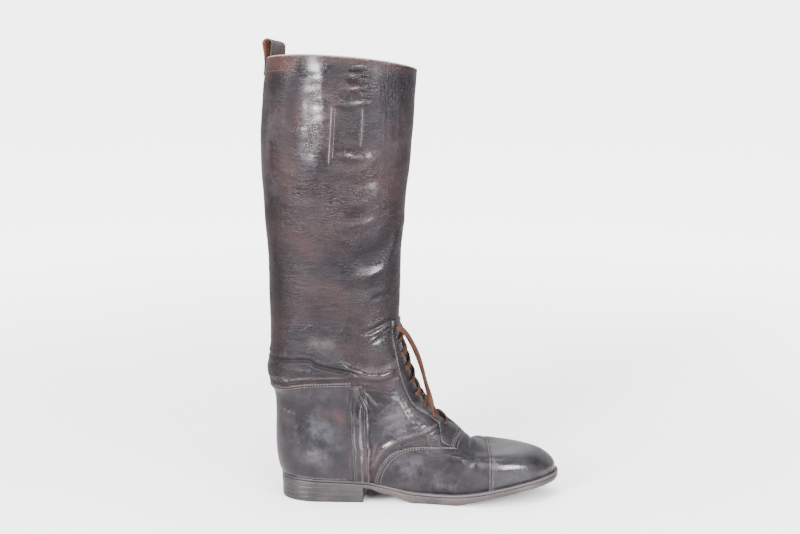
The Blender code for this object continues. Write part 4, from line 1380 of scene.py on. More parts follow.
def spread_ends(count: int, millimetre: Array) -> Array:
    """Shares from 0 to 1, a few tenths of a millimetre apart at both ends and even between them.

    Args:
        count: number of shares.
        millimetre: what one millimetre is as a share, for each column.
    Returns:
        A column of shares for each of these.
    """
    head = np.array((0.0, 0.12, 0.3, 0.55, 0.85, 1.2, 1.8))[:, None] * np.minimum(millimetre, 1.0 / 6.0)
    even = np.linspace(0.0, 1.0, count - 2 * len(head) + 2)[1:-1, None]
    body = head[-1] + even * (1.0 - 2.0 * head[-1])
    return np.concatenate((head, body, 1.0 - head[::-1]))


@dataclass
class StitchRow:
    """A row of thread on the leather: small rounded grains end to end along a line.

    Attributes:
        path: points of the line in millimetres.
        up: unit vectors out of the leather.
        length, gap: length of a stitch and the space to the next.
        width, rise: width of the thread and how far it stands out.
    """

    path: Array
    up: Array
    length: float = 2.3
    gap: float = 0.7
    width: float = 0.8
    rise: float = 0.35

    def grains(self) -> tuple[Array, Array]:
        """Points and quads of every stitch: rings of six points along it, narrowed to its ends.

        Returns:
            The points in millimetres and the quads.
        """
        lengths = lengths_along(self.path)
        count = max(int(lengths[-1] / (self.length + self.gap)), 1)
        middles = (np.arange(count) + 0.5) * lengths[-1] / count
        shares = np.array((-0.5, -0.42, -0.2, 0.2, 0.42, 0.5))
        swell = np.array((0.15, 0.7, 1.0, 1.0, 0.7, 0.15))
        at = middles[:, None] + shares * self.length
        spots = np.stack([np.interp(at, lengths, column) for column in self.path.T], axis=-1)
        up = unit(np.stack([np.interp(at, lengths, column) for column in self.up.T], axis=-1))
        along = unit(np.gradient(spots, axis=1))
        across = unit(np.cross(along, up))
        turns = np.arange(6) * FULL_TURN / 6.0
        ring = np.stack((0.5 * self.width * np.cos(turns), self.rise * np.sin(turns)), axis=-1)
        points = spots[:, :, None] + swell[:, None, None] * (
            ring[:, :1] * across[:, :, None] + ring[:, 1:] * up[:, :, None])
        one = grid_quads(6, 6, True)[:, ::-1]
        quads = (one[None] + (np.arange(count) * 36)[:, None, None]).reshape(-1, 4)
        return points.reshape(-1, 3), quads


@dataclass
class Upper:
    """The wall of foot and leg with its lining, collar edge and throat opening."""

    wall: float = WALL
    columns: int = 140
    rows: int = 318
    throat: tuple[float, float] = THROAT
    throat_half: float = 6.5
    throat_rounding: float = 7.0
    throat_end: float = 0.02
    front_radius: float = 40.0
    lip_bulge: float = 0.6
    facing: float = 30.0
    facing_thick: float = 0.25

    def slot_half(self, rise: Array) -> Array:
        """Half width of the throat: a slot whose ends close like roots."""
        share = (rise - self.throat[0]) / (self.throat[1] - self.throat[0])
        room = np.minimum(share, 1.0 - share) * self.throat_rounding
        return self.throat_half * np.sqrt(np.clip(room, 0.0, 1.0))

    def halves(self, rises: Array, columns: int, wider: float = 0.0) -> Array:
        """Angles of the lateral half, evenly from the back to the throat's edge or the ridge.

        Args:
            rises: rises of the rows.
            columns: angles in a row.
            wider: millimetres by which the throat is wider.
        Returns:
            One row of angles for each rise.
        """
        half = self.slot_half(rises)
        open_by = LAST.angle_off_ridge(rises, half + wider * (half > 0.0))
        return np.linspace(0.0, 1.0, columns) * (math.pi - open_by)[:, None]

    def build(self, paints: Paints) -> None:
        """Make the outside wall with its rims, and the lining within it.

        Args:
            paints: materials by name.
        """
        low, high = self.throat
        rises = np.unique(np.concatenate((LAST.rises_by_length(self.rows), self.throat,
                                          np.linspace(low, low + self.throat_end, 6),
                                          np.linspace(high - self.throat_end, high, 6))))
        angles = self.halves(rises, self.columns)
        from_slot = (angles[:, -1:] - angles) * self.front_radius
        edge = np.where(self.slot_half(rises)[:, None] > 0.0, from_slot, NO_EDGE)
        outside = Piece("upper_wall", Slot.LEG, ("upper",))
        for side in (1.0, -1.0):
            skin = skin_at(side * angles, rises[:, None], 0.0, edge)
            outside.add_grid(skin.points, flip=side < 0.0, values=skin.values)
            self.add_throat_lip(outside, side * angles[:, -1], rises, side)
            self.add_collar_rim(outside, side * angles[-1], side)
        outside.make(paints["leg_leather"], paints["cut_edge"])
        self.build_lining(paints)

    def add_throat_lip(self, piece: Piece, angle: Array, rises: Array, side: float) -> None:
        """Rounded edge of the wall along the throat: the wall's edge carried inwards along its normal.

        Args:
            piece: piece that gets it.
            angle, rises: the edge on the last.
            side: 1 for the lateral edge, -1 for the medial one.
        """
        inside = self.slot_half(rises) > 0.0
        depths = np.linspace(0.0, 1.0, 6)
        skin = skin_at(angle[inside][:, None], rises[inside][:, None], -self.wall * depths, 0.4)
        skin.points[..., 1] += side * self.lip_bulge * np.sin(math.pi * depths)
        piece.add_grid(skin.points, flip=side < 0.0, values=skin.values)

    def add_collar_rim(self, piece: Piece, angles: Array, side: float) -> None:
        """Rim of the collar: a half round from the outside face over to the lining.

        Args:
            piece: piece that gets it.
            angles: angles along the collar.
            side: 1 for the lateral half, -1 for the medial one.
        """
        turns = np.linspace(0.0, math.pi, 7)[:, None]
        radius = 0.5 * self.wall
        skin = skin_at(angles, np.ones((7, 1)), radius * (np.cos(turns) - 1.0), 0.2)
        skin.points[..., 2] += radius * np.sin(turns)
        piece.add_grid(skin.points, flip=side < 0.0, finish=1, values=skin.values)

    def build_lining(self, paints: Paints) -> None:
        """Make the inside face: a leather facing below the collar and a lining under it.

        Args:
            paints: materials by name.
        """
        rises = np.unique(np.concatenate((LAST.rises_by_length(110), self.throat)))
        angles = self.halves(rises, 56, 1.0)
        piece = Piece("upper_lining", Slot.LINING)
        under = LAST.point(0.0, 1.0)[2] - LAST.point(0.0, rises)[:, 2]
        split = int(np.argmax(under < self.facing))
        for side in (1.0, -1.0):
            for rows, depth, finish in ((np.s_[: split + 1], self.wall, 1),
                                        (np.s_[split:], self.wall + self.facing_thick, 0)):
                skin = skin_at(side * angles[rows], rises[rows, None], -depth)
                piece.add_grid(skin.points, flip=side > 0.0, finish=finish)
        piece.make(paints["collar_facing"], paints["lining_leather"])


@dataclass
class Tongue:
    """Tongue under the throat: a sheet within the wall whose faces follow the last."""

    rises: tuple[float, float] = (0.345, 0.713)
    half: float = 25.0
    foot_share: float = 0.62
    widening: float = 2.5
    near: float = -2.7
    thick: float = 1.6
    throat: tuple[float, float] = THROAT
    swell: float = 5.4
    swell_half: float = 7.5
    swell_end: float = 0.03
    relief_share: float = 0.6

    def build(self, leather: Material) -> None:
        """Make the tongue: an outer and an inner face joined round their border, swelling into the throat.

        Args:
            leather: its finish.
        """
        rises = np.linspace(*self.rises, 90)[:, None]
        share = np.linspace(-1.0, 1.0, 49)
        narrow = np.clip(self.foot_share + self.widening * (rises - self.rises[0]), 0.0, 1.0)
        across = np.abs(share) * self.half * narrow
        angles = math.pi + np.sign(share) * LAST.angle_off_ridge(rises, across)
        ends = np.minimum(rises - self.throat[0], self.throat[1] - rises) / self.swell_end
        offset = self.near + self.swell * eased(ends) * eased(1.0 - across / self.swell_half)
        outer = skin_at(angles, rises, offset, share=self.relief_share)
        inner = skin_at(angles, rises, offset - self.thick, share=self.relief_share)
        piece = Piece("tongue_sheet", Slot.FOOT, ("tongue",))
        piece.add_grid(outer.points, values=outer.values)
        piece.add_grid(inner.points, flip=True, values=inner.values)
        piece.add_border(outer.points, inner.points)
        piece.make(leather)


@dataclass
class Lacing:
    """Laces and punched holes: flat thongs across the throat and one free end."""

    count: int = 9
    hole_rises: tuple[float, float] = (0.664, 0.402)
    from_ridge: float = 13.5
    hole_radius: float = 2.3
    width: float = 5.6
    end_width: float = 6.0
    end_diameter: float = 3.4
    thick: float = 1.5
    high: float = 2.5
    sunk: float = -2.6
    dive: float = 0.16
    sway: float = 0.5
    tilt: float = 0.42
    uneven: float = 0.16
    route: Corners = (
        (78.6, -13.5, 187.9), (83.6, -16.2, 188.0), (89.6, -16.6, 183.8), (95.8, -13.8, 173.4),
        (101.8, -11.4, 160.4), (106.0, -10.6, 148.4), (109.4, -11.0, 136.4), (112.4, -12.8, 125.4),
        (115.6, -15.6, 115.0), (118.8, -19.4, 104.0), (121.4, -23.4, 92.4))
    lip: Corners = ((1.35, 0.05), (1.2, 0.28), (1.05, 0.22), (0.95, -0.15))
    # The well is a flat disc in the hole, finished dark as painted shade
    well: Corners = ((0.96, 0.02), (0.55, 0.0), (0.02, 0.0))

    def holes(self) -> tuple[Array, Array]:
        """Angles off the ridge and rises of the holes of one side, top hole first."""
        rises = np.linspace(*self.hole_rises, self.count)
        return LAST.angle_off_ridge(rises, np.full(self.count, self.from_ridge)), rises

    def two_tone(self, profile: Array, count: int, number: int) -> dict[str, Array]:
        """Pale wear that lies on one half of a thong's face and changes sides along it.

        Args:
            profile: the thong's profile.
            count: points along the thong.
            number: number of the thong.
        Returns:
            The wear as an attribute value.
        """
        share = np.linspace(0.0, 1.0, count)[:, None]
        side = np.sin(1.3 * number + 4.0 * share) * profile[:, 0] / self.width
        return {"wear": eased(0.5 + 1.6 * side)}

    def build_bars(self, lace: Material) -> None:
        """Make every strand across the throat, from a lateral hole up to the next medial one.

        The strand's height over the last is level between the holes and dives into them at both ends; its
        faces tilt a little from strand to strand.

        Args:
            lace: finish of the thongs.
        """
        off, rises = self.holes()
        piece = Piece("lace_bars", Slot.LACE, [f"lace_bar_{number}" for number in range(2, self.count + 1)])
        share = np.concatenate((np.linspace(0.0, self.dive, 7), np.linspace(0.2, 0.8, 13),
                                np.linspace(1.0 - self.dive, 1.0, 7)))
        level = np.clip(np.minimum(share, 1.0 - share) / self.dive, 0.0, 1.0)
        profile = rounded_strip(self.width, self.thick)
        for number in range(1, self.count):
            angles = math.pi - off[number] + share * (off[number] + off[number - 1])
            levels = rises[number] + share * (rises[number - 1] - rises[number])
            height = self.sunk + (self.high - self.sunk) * np.sqrt(1.0 - (1.0 - level) ** 2)
            height += self.sway * math.sin(2.3 * number) * np.sin(math.pi * share)
            base, up = LAST.point(angles, levels), LAST.normal(angles, levels)
            path = base + (height + relief(base) * level)[:, None] * up
            along = unit(np.gradient(path, axis=0))
            across = unit(np.cross(up, along))
            tilt = self.tilt * np.sin(1.7 * number + 3.4 * share)[:, None]
            across = unit(across + tilt * np.cross(along, across))
            wide = 1.0 + self.uneven * np.sin(2.9 * number + 5.0 * share)
            strand = carried(path, across, np.cross(along, across), profile, wide)
            piece.add_grid(strand, closed=True, values=self.two_tone(profile, len(share), number))
        piece.make(lace)

    def build_end(self, lace: Material) -> None:
        """Args:
            lace: its finish.
        """
        path = curve_through(self.route, 5)
        along = unit(np.gradient(path, axis=0))
        share = np.linspace(0.0, 1.0, len(path))
        twist = (1.25 + 0.45 * np.sin(1.0 + 6.0 * share))[:, None]
        base = unit(np.cross(along, (0.0, 1.0, 0.0)))
        across = np.cos(twist) * np.cross(along, base) + np.sin(twist) * base
        profile = rounded_strip(self.end_width, self.thick) - (0.0, 0.5 * self.thick)
        leaving, tip = eased(share / 0.1), eased((1.0 - share) / 0.16)
        wide = (0.62 + 0.38 * leaving) * (0.4 + 0.6 * tip) * (1.0 + 0.07 * np.sin(17.0 * share))
        strand = carried(path, across, np.cross(along, across), profile, wide)
        piece = Piece("lace_end_thong", Slot.LACE, ("lace_end",))
        piece.add_grid(strand, closed=True, values=self.two_tone(profile, len(share), 0))
        for end, flip in ((strand[0], True), (strand[-1], False)):
            piece.add_between(end, end.mean(axis=0, keepdims=True), closed=True, flip=flip)
        thing = piece.make(lace)

    def build_holes(self, rim: Material, dark: Material, high: float) -> None:
        """Make the punched holes: rings of a pressed lip round a well, a flat dark disc that paints the shade
        inside the hole.

        Args:
            rim, dark: finishes of the lip and of the well.
            high: height of the eyestay's face over the last.
        """
        off, rises = self.holes()
        piece = Piece("lace_holes", Slot.FOOT)
        turns = np.arange(20)[:, None] * FULL_TURN / 20.0
        for side in (-1.0, 1.0):
            middles, up = on_leather(np.column_stack((math.pi + side * off, rises)), high)
            across = unit(np.cross(up, (0.0, 1.0, 0.0)))
            for middle, out, first, second in zip(middles, up, across, np.cross(up, across)):
                ring = np.cos(turns) * first + np.sin(turns) * second
                for finish, rows in enumerate((self.lip, self.well)):
                    shares, heights = np.transpose(rows)[..., None, None]
                    grid = middle + self.hole_radius * shares * ring + heights * out
                    piece.add_grid(grid, closed=True, finish=finish)
        piece.make(rim, dark)


@dataclass
class PullLoop:
    """Leather loop over the back of the collar, one leg outside the wall and one inside."""

    wall: float = WALL
    middle: float = 3.0 * math.pi / 32.0
    spread: float = 6.0 * math.pi / 32.0
    thick: float = 2.0
    bend: float = 3.8
    crown: float = 22.5
    outer_leg: float = 16.0
    inner_leg: float = 26.0
    leg_top: float = -4.0
    leg_scale: float = 740.0
    half_width: float = 22.0

    def build(self, paints: Paints) -> None:
        """Make the loop: a strip carried up the outside, round the crown and down the inside.

        Args:
            paints: materials by name.
        """
        turns = np.linspace(0.0, math.pi, 17)
        out = np.concatenate((np.full(6, 0.3), self.bend * np.cos(turns) - 0.5 * self.wall,
                              np.full(6, -self.wall - 0.6)))
        up = np.concatenate((np.linspace(-self.outer_leg, self.leg_top, 6),
                             self.crown - self.thick - self.bend + self.bend * np.sin(turns),
                             np.linspace(self.leg_top, -self.inner_leg, 6)))
        places = curve_through(np.column_stack((out, up)), 2)
        along = unit(np.gradient(places, axis=0))
        share = np.linspace(0.5, -0.5, 15)
        angles = FULL_TURN - self.middle + share * self.spread
        sink = 0.35 * self.thick * (2.0 * np.abs(share)) ** 6
        faces = []
        for lift in (self.thick - sink, sink):
            out = places[:, :1] + along[:, 1:] * lift
            up = places[:, 1:] - along[:, :1] * lift
            rise = 1.0 - np.maximum(-up, 0.0) / self.leg_scale
            normal = LAST.normal(angles, rise)
            grid = LAST.point(angles, rise) + out[..., None] * normal
            grid[..., 2] += np.maximum(up, 0.0)
            faces.append(grid + 0.3 * waves(grid, 14.0, 2)[..., None] * normal)
        front, back = faces
        inset = np.minimum(share - share[-1], share[0] - share) * self.half_width
        piece = Piece("pull_loop_strip", Slot.FOOT, ("pull_loop",))
        piece.add_grid(front, values={"wear": np.broadcast_to(wear_from(inset), front.shape[:2])})
        piece.add_grid(back, flip=True, finish=1)
        piece.add_border(front, back, finish=2)
        piece.make(paints["loop_leather"], paints["lining_leather"], paints["loop_edge"])


@dataclass
class Sole:
    """Welt, outsole, insole and stacked heel, each a band of profile steps round the feather line."""

    columns: int = 288
    welt: float = 2.8
    seat_gap: float = 0.5
    gap: float = 0.3
    wall: float = WALL
    wheel_depth: float = 0.22
    wheel_step: float = 2.6
    breast_x: float = 45.0
    ink_end: float = 66.0
    ink_fade: float = 26.0
    layers: Sequence[tuple[str, float, float, float, float]] = (
        ("heel_top_piece", FLOOR, 3.35, 0.5, 0.9),
        ("heel_lift_lower", 3.36, 8.65, 0.7, 1.0),
        ("heel_lift_upper", 8.66, 14.15, 0.9, 1.2))

    def ring(self, angles: Array, outset: Array) -> Array:
        """Plan of the feather line moved outward: edge + outset * normal."""
        edge = LAST.point(angles, 0.0)
        return (edge + np.asarray(outset)[..., None] * LAST.normal(angles, 0.0))[..., :2]

    def round_boot(self, seed: int) -> tuple[Array, Array, Array]:
        """Columns round the whole boot: angles, the feather line's points, and an edge's unevenness."""
        angles = np.arange(self.columns) * FULL_TURN / self.columns
        return angles, LAST.point(angles, 0.0), self.wander(angles, seed)

    def band(self, steps: Sequence[tuple[Array | float, Callable[[Array], Array], Array | float]],
             angles: Array) -> Array:
        """Grid of rings, each from an outset and a height over a side line: line(x) + over.

        Args:
            steps: outsets, side lines and heights over them, from one ring to the next.
            angles: angles of the columns.
        Returns:
            A grid of points, one row for each step.
        """
        rings = []
        for outset, line, over in steps:
            plan = self.ring(angles, np.broadcast_to(outset, angles.shape))
            rings.append(np.column_stack((plan, line(plan[:, 0]) + over)))
        return np.stack(rings)

    def wander(self, angles: Array, seed: int) -> Array:
        """Small unevenness of a trimmed edge along the boot."""
        place = LAST.point(angles, 0.0)
        return 0.14 * waves(place, 9.0, seed) + 0.2 * waves(place, 32.0, seed + 1)

    def edge_values(self, grid: Array, edge: Sequence[float]) -> dict[str, Array]:
        """Values of a trimmed edge: wear by the rows' distance from it, and ink that covers its heel end."""
        wear = np.broadcast_to(wear_from(np.asarray(edge))[:, None], grid.shape[:2])
        return {"wear": wear, "ink": 0.9 * eased((self.ink_end - grid[..., 0]) / self.ink_fade)}

    def close(self, piece: Piece, grid: Array, rows: int = 13, around: bool = True) -> None:
        """Close a band's first ring from below and its last from above, lateral to medial points.

        Args:
            piece: piece that gets the faces.
            grid: rings from the back over the lateral side and home, or from end to end of a horseshoe.
            rows: rows of a face.
            around: whether the rings go round the whole boot.
        """
        half = grid.shape[1] // 2 + 1
        for ring, flip in ((grid[0], False), (grid[-1], True)):
            opposite = np.roll(ring[::-1], 1, axis=0) if around else ring[::-1]
            piece.add_between(ring[:half], opposite[:half], rows, flip=flip)

    def build_welt(self, leather: Material) -> None:
        """Make the welt: a flat strip with a stitch groove, wheel marks on top and a rounded edge.

        Args:
            leather: its finish.
        """
        angles, feather, uneven = self.round_boot(11)
        reach = LAST.reach(feather[:, 0])
        trimmed = reach + uneven
        wheel = self.wheel_depth * np.abs(np.sin(lengths_along(feather) * math.pi / self.wheel_step))
        steps = ((0.2 - self.wall, self.welt), (reach - 0.7, self.welt), (trimmed - 0.1, self.welt - 0.5),
                 (trimmed + 0.15, 0.55 * self.welt), (trimmed + 0.05, 0.5), (trimmed - 0.5, 0.05),
                 (np.maximum(reach - 1.5, -0.3), wheel), (np.maximum(reach - 2.0, -0.5), 0.05),
                 (np.maximum(reach - 2.3, -0.6), 0.45), (np.maximum(reach - 2.6, -0.9), 0.0),
                 (-0.9, -0.1), (0.2 - self.wall, 0.0))
        grid = self.band([(outset, LAST.feather, -self.seat_gap - drop) for outset, drop in steps], angles)
        piece = Piece("welt_strip", Slot.WELT, ("welt",))
        edge = (9.0, 1.2, 0.2, 0.6, 0.3, 0.6, 2.0, 4.0, 9.0, 9.0, 9.0, 9.0)
        piece.add_grid(grid, closed=True, values=self.edge_values(grid, edge))
        piece.make(leather)

    def build_outsole(self, leather: Material) -> None:
        """Make the outsole: a slab with arch and toe spring, a rounded edge and a floor face of leather.

        Args:
            leather: its finish.
        """
        angles, feather, uneven = self.round_boot(21)
        reach = LAST.reach(feather[:, 0])
        trimmed = reach + uneven
        inset = 0.15 + 0.85 * eased((feather[:, 0] - 40.0) / 16.0)
        under = -self.seat_gap - self.welt - self.gap
        steps = ((reach - 1.8 * inset, LAST.floor_side, 0.0), (reach - 0.9 * inset, LAST.floor_side, 0.35),
                 (trimmed - 0.3 * inset, LAST.floor_side, 1.3), (trimmed, LAST.floor_side, 2.6),
                 (trimmed - 0.1, LAST.feather, under - 1.2), (trimmed - 0.25, LAST.feather, under - 0.5),
                 (reach - 0.9, LAST.feather, under - 0.02), (-3.0, LAST.feather, under))
        grid = self.band(steps, angles)
        piece = Piece("outsole_slab", Slot.SOLE, ("outsole",))
        edge = (0.5, 0.2, 0.9, 2.0, 1.4, 0.5, 3.0, 9.0)
        piece.add_grid(grid, closed=True, values=self.edge_values(grid, edge))
        self.close(piece, grid)
        piece.make(leather)

    def build_heel(self, leather: Material) -> None:
        """Make the heel's layers: a rounded horseshoe outline with a flat breast, a touch uneven each.

        Args:
            leather: its finish.
        """
        turn = float(LAST.angle_for_x(np.array(self.breast_x), np.array(0.0)))
        angles = np.linspace(-turn, turn, 121)
        wear = 0.3 * wear_from(np.array((0.4, 0.25, 1.0, 1.6, 0.5, 0.4)))[:, None]
        for number, (name, low, high, low_reach, high_reach) in enumerate(self.layers):
            uneven = 0.6 * self.wander(angles, 31 + number)
            steps = ((low_reach - 0.12, low), (low_reach, low + 0.12), (low_reach + 0.06, low + 0.7),
                     (high_reach + 0.02, high - 0.4), (high_reach - 0.04, high - 0.1),
                     (high_reach - 0.12, high))
            rings = [np.column_stack((self.ring(angles, outset + uneven), np.full(len(angles), height)))
                     for outset, height in steps]
            grid = np.stack(rings)
            grid[..., 0] = np.minimum(grid[..., 0], self.breast_x)
            piece = Piece(f"{name}_leather", Slot.SOLE, (name,))
            piece.add_grid(grid, values={"wear": np.broadcast_to(wear, grid.shape[:2])})
            self.close(piece, grid, 9, around=False)
            piece.add_grid(np.stack((grid[:, -1], grid[:, 0]), axis=1))
            piece.make(leather)

    def build_insole(self, lining: Material) -> None:
        """Make the insole board: a slab within the wall.

        Args:
            lining: its finish.
        """
        angles = np.arange(96) * FULL_TURN / 96.0
        base = self.gap - self.welt - self.seat_gap
        steps = ((-3.1, 0.0), (-2.9, 2.9), (-3.6, 3.5))
        grid = self.band([(outset, LAST.feather, base + up) for outset, up in steps], angles)
        piece = Piece("insole_board", Slot.LINING, ("insole",))
        piece.add_grid(grid, closed=True)
        self.close(piece, grid)
        piece.make(lining)

    def stitch_line(self) -> StitchRow:
        """Row of thread in the welt's groove, round the forefoot from waist to waist.

        Returns:
            The row.
        """
        angles = np.linspace(1.25, FULL_TURN - 1.25, 420)
        plan = self.ring(angles, LAST.reach(LAST.point(angles, 0.0)[:, 0]) - 2.2)
        path = np.column_stack((plan, LAST.feather(plan[:, 0]) - self.seat_gap - 0.05))
        return StitchRow(path, np.broadcast_to((0.0, 0.0, 1.0), path.shape), 2.6, 0.9, 0.9, 0.3)


# Outlines of the panels, as (x, z) corners seen from the side
WING_EDGE = ((57, 16), (57.5, 24), (62, 38), (72, 51.5), (86, 59.5), (106, 62.5), (128, 61.5))
STAY_FRONT = ((139, 59.5), (140.8, 66), (147, 73.5), (152, 110))
STAY_REAR = ((76, 197), (74.5, 184), (78.5, 160), (85, 133), (97, 106), (117, 90), (127, 80), (128, 66))
STRAP_REAR = ((32, 20), (31.5, 30), (29, 80), (28.4, 129))
STRAP_FRONT = ((54, 20), (53.5, 30), (52.5, 100), (45, 129))
COUNTER_TOP = ((-80, 121), (-40, 127), (-12, 132), (28, 133.5), (50, 134.5))
CAP_SEAM_X, CAP_SKEW = 178.0, -0.04
COUNTER_END_X, COUNTER_END_Z = 36.0, 126.25
COLLAR_SEAM = ((-52, 461.5), (-36, 462.5), (-22, 463.5))

# Corners and width of each pale row of thread round the patch on the leg
PATCH_SEAMS = ((((16.5, 426), (15, 400), (12.4, 367)), 0.9), (((20, 424), (18.6, 400), (16.6, 373)), 0.35),
               (((47.5, 424), (46.5, 404), (45, 385)), 0.45))

# Upright folds of a strap: middle and width as shares of the strap's width, and height in millimetres
STRAP_FOLDS = ((0.07, 0.05, 1.0), (0.31, 0.06, 1.3), (0.59, 0.10, 1.5), (0.90, 0.07, 1.4))


def chart_line(corners: Corners) -> Array:
    """Lateral chart rows of a side line, from (x, z) by the last's inverse."""
    line = curve_through(corners, 8)
    rises = LAST.rise_for_z(line[:, 0], line[:, 1])
    return np.column_stack((LAST.angle_for_x(line[:, 0], rises), rises))


def to_ridge(corners: Corners) -> Array:
    """Lateral chart rows of a side line that runs up to the front ridge and ends on it.

    Args:
        corners: (x, z) corners whose last ones lie above the ridge.
    Returns:
        Rows of (angle, rise).
    """
    line = curve_through(corners, 12)
    ridge = LAST.point(math.pi, np.linspace(0.1, 0.6, 300))
    top = np.interp(-line[:, 0], -ridge[:, 0], ridge[:, 2])
    crossing = int(np.argmin(line[:, 1] < top - 0.4))
    x, z = line[:crossing].T
    rises = LAST.rise_for_z(x, z)
    rows = np.column_stack((LAST.angle_for_x(x, rises), rises))
    return np.concatenate((rows, [[math.pi, LAST.ridge_rise(float(line[crossing, 0]))]]))


def mirrored(rows: Array) -> Array:
    """Chart rows of the lateral half followed by the same on the medial half, back to front and home."""
    other = rows[::-1].copy()
    other[:, 0] = FULL_TURN - other[:, 0]
    return np.concatenate((rows, other[1:]))


def seam_rows(side: float) -> Array:
    """Chart rows of the toe cap's seam on one side, from the feather line up to the ridge.

    Args:
        side: 1 for the lateral side, -1 for the medial side.
    Returns:
        Rows of (angle, rise).
    """
    top = LAST.ridge_rise(CAP_SEAM_X)
    rises = top * (1.0 - (1.0 - np.linspace(0.0, 1.0, 60)) ** 2)
    x = np.full(60, CAP_SEAM_X)
    for _ in range(6):
        angle = LAST.angle_for_x(x, rises)
        turned = angle if side > 0.0 else FULL_TURN - angle
        x = CAP_SEAM_X + CAP_SKEW * LAST.point(turned, rises)[:, 1]
    angle = LAST.angle_for_x(x, rises)
    angle[-1] = math.pi
    rows = np.column_stack((angle if side > 0.0 else FULL_TURN - angle, rises))
    keep = np.concatenate(([True], np.diff(np.abs(rows[:, 0] - math.pi)) < 0.0))
    return rows[keep]


def cap_seam() -> Array:
    """Chart rows of the whole seam of the toe cap, lateral feather line to medial feather line."""
    lateral, medial = seam_rows(1.0), seam_rows(-1.0)
    lateral[-1] = medial[-1] = (math.pi, LAST.ridge_rise(CAP_SEAM_X))
    return np.concatenate((lateral, medial[::-1][1:]))


def strap_ridges(share: Array, spots: Array) -> Array:
    """Height of the strap's upright folds: rounded ridges across its width that draw together at its top.

    Args:
        share: share of the strap's width at each place.
        spots: the places.
    Returns:
        Heights in millimetres.
    """
    gather = 0.55 * eased((spots[..., 2] - 98.0) / 28.0)
    sway = 0.03 * waves(spots, 26.0, 4, (0.0, 0.0, 1.0))
    ridges = np.zeros(share.shape)
    for middle, width, high in STRAP_FOLDS:
        place = middle + gather * (0.52 - middle) + sway
        ridges += high * np.exp(-((share - place) / (width * (1.0 - 0.3 * gather))) ** 2)
    return ridges * (0.9 + 0.25 * waves(spots, 20.0, 6))


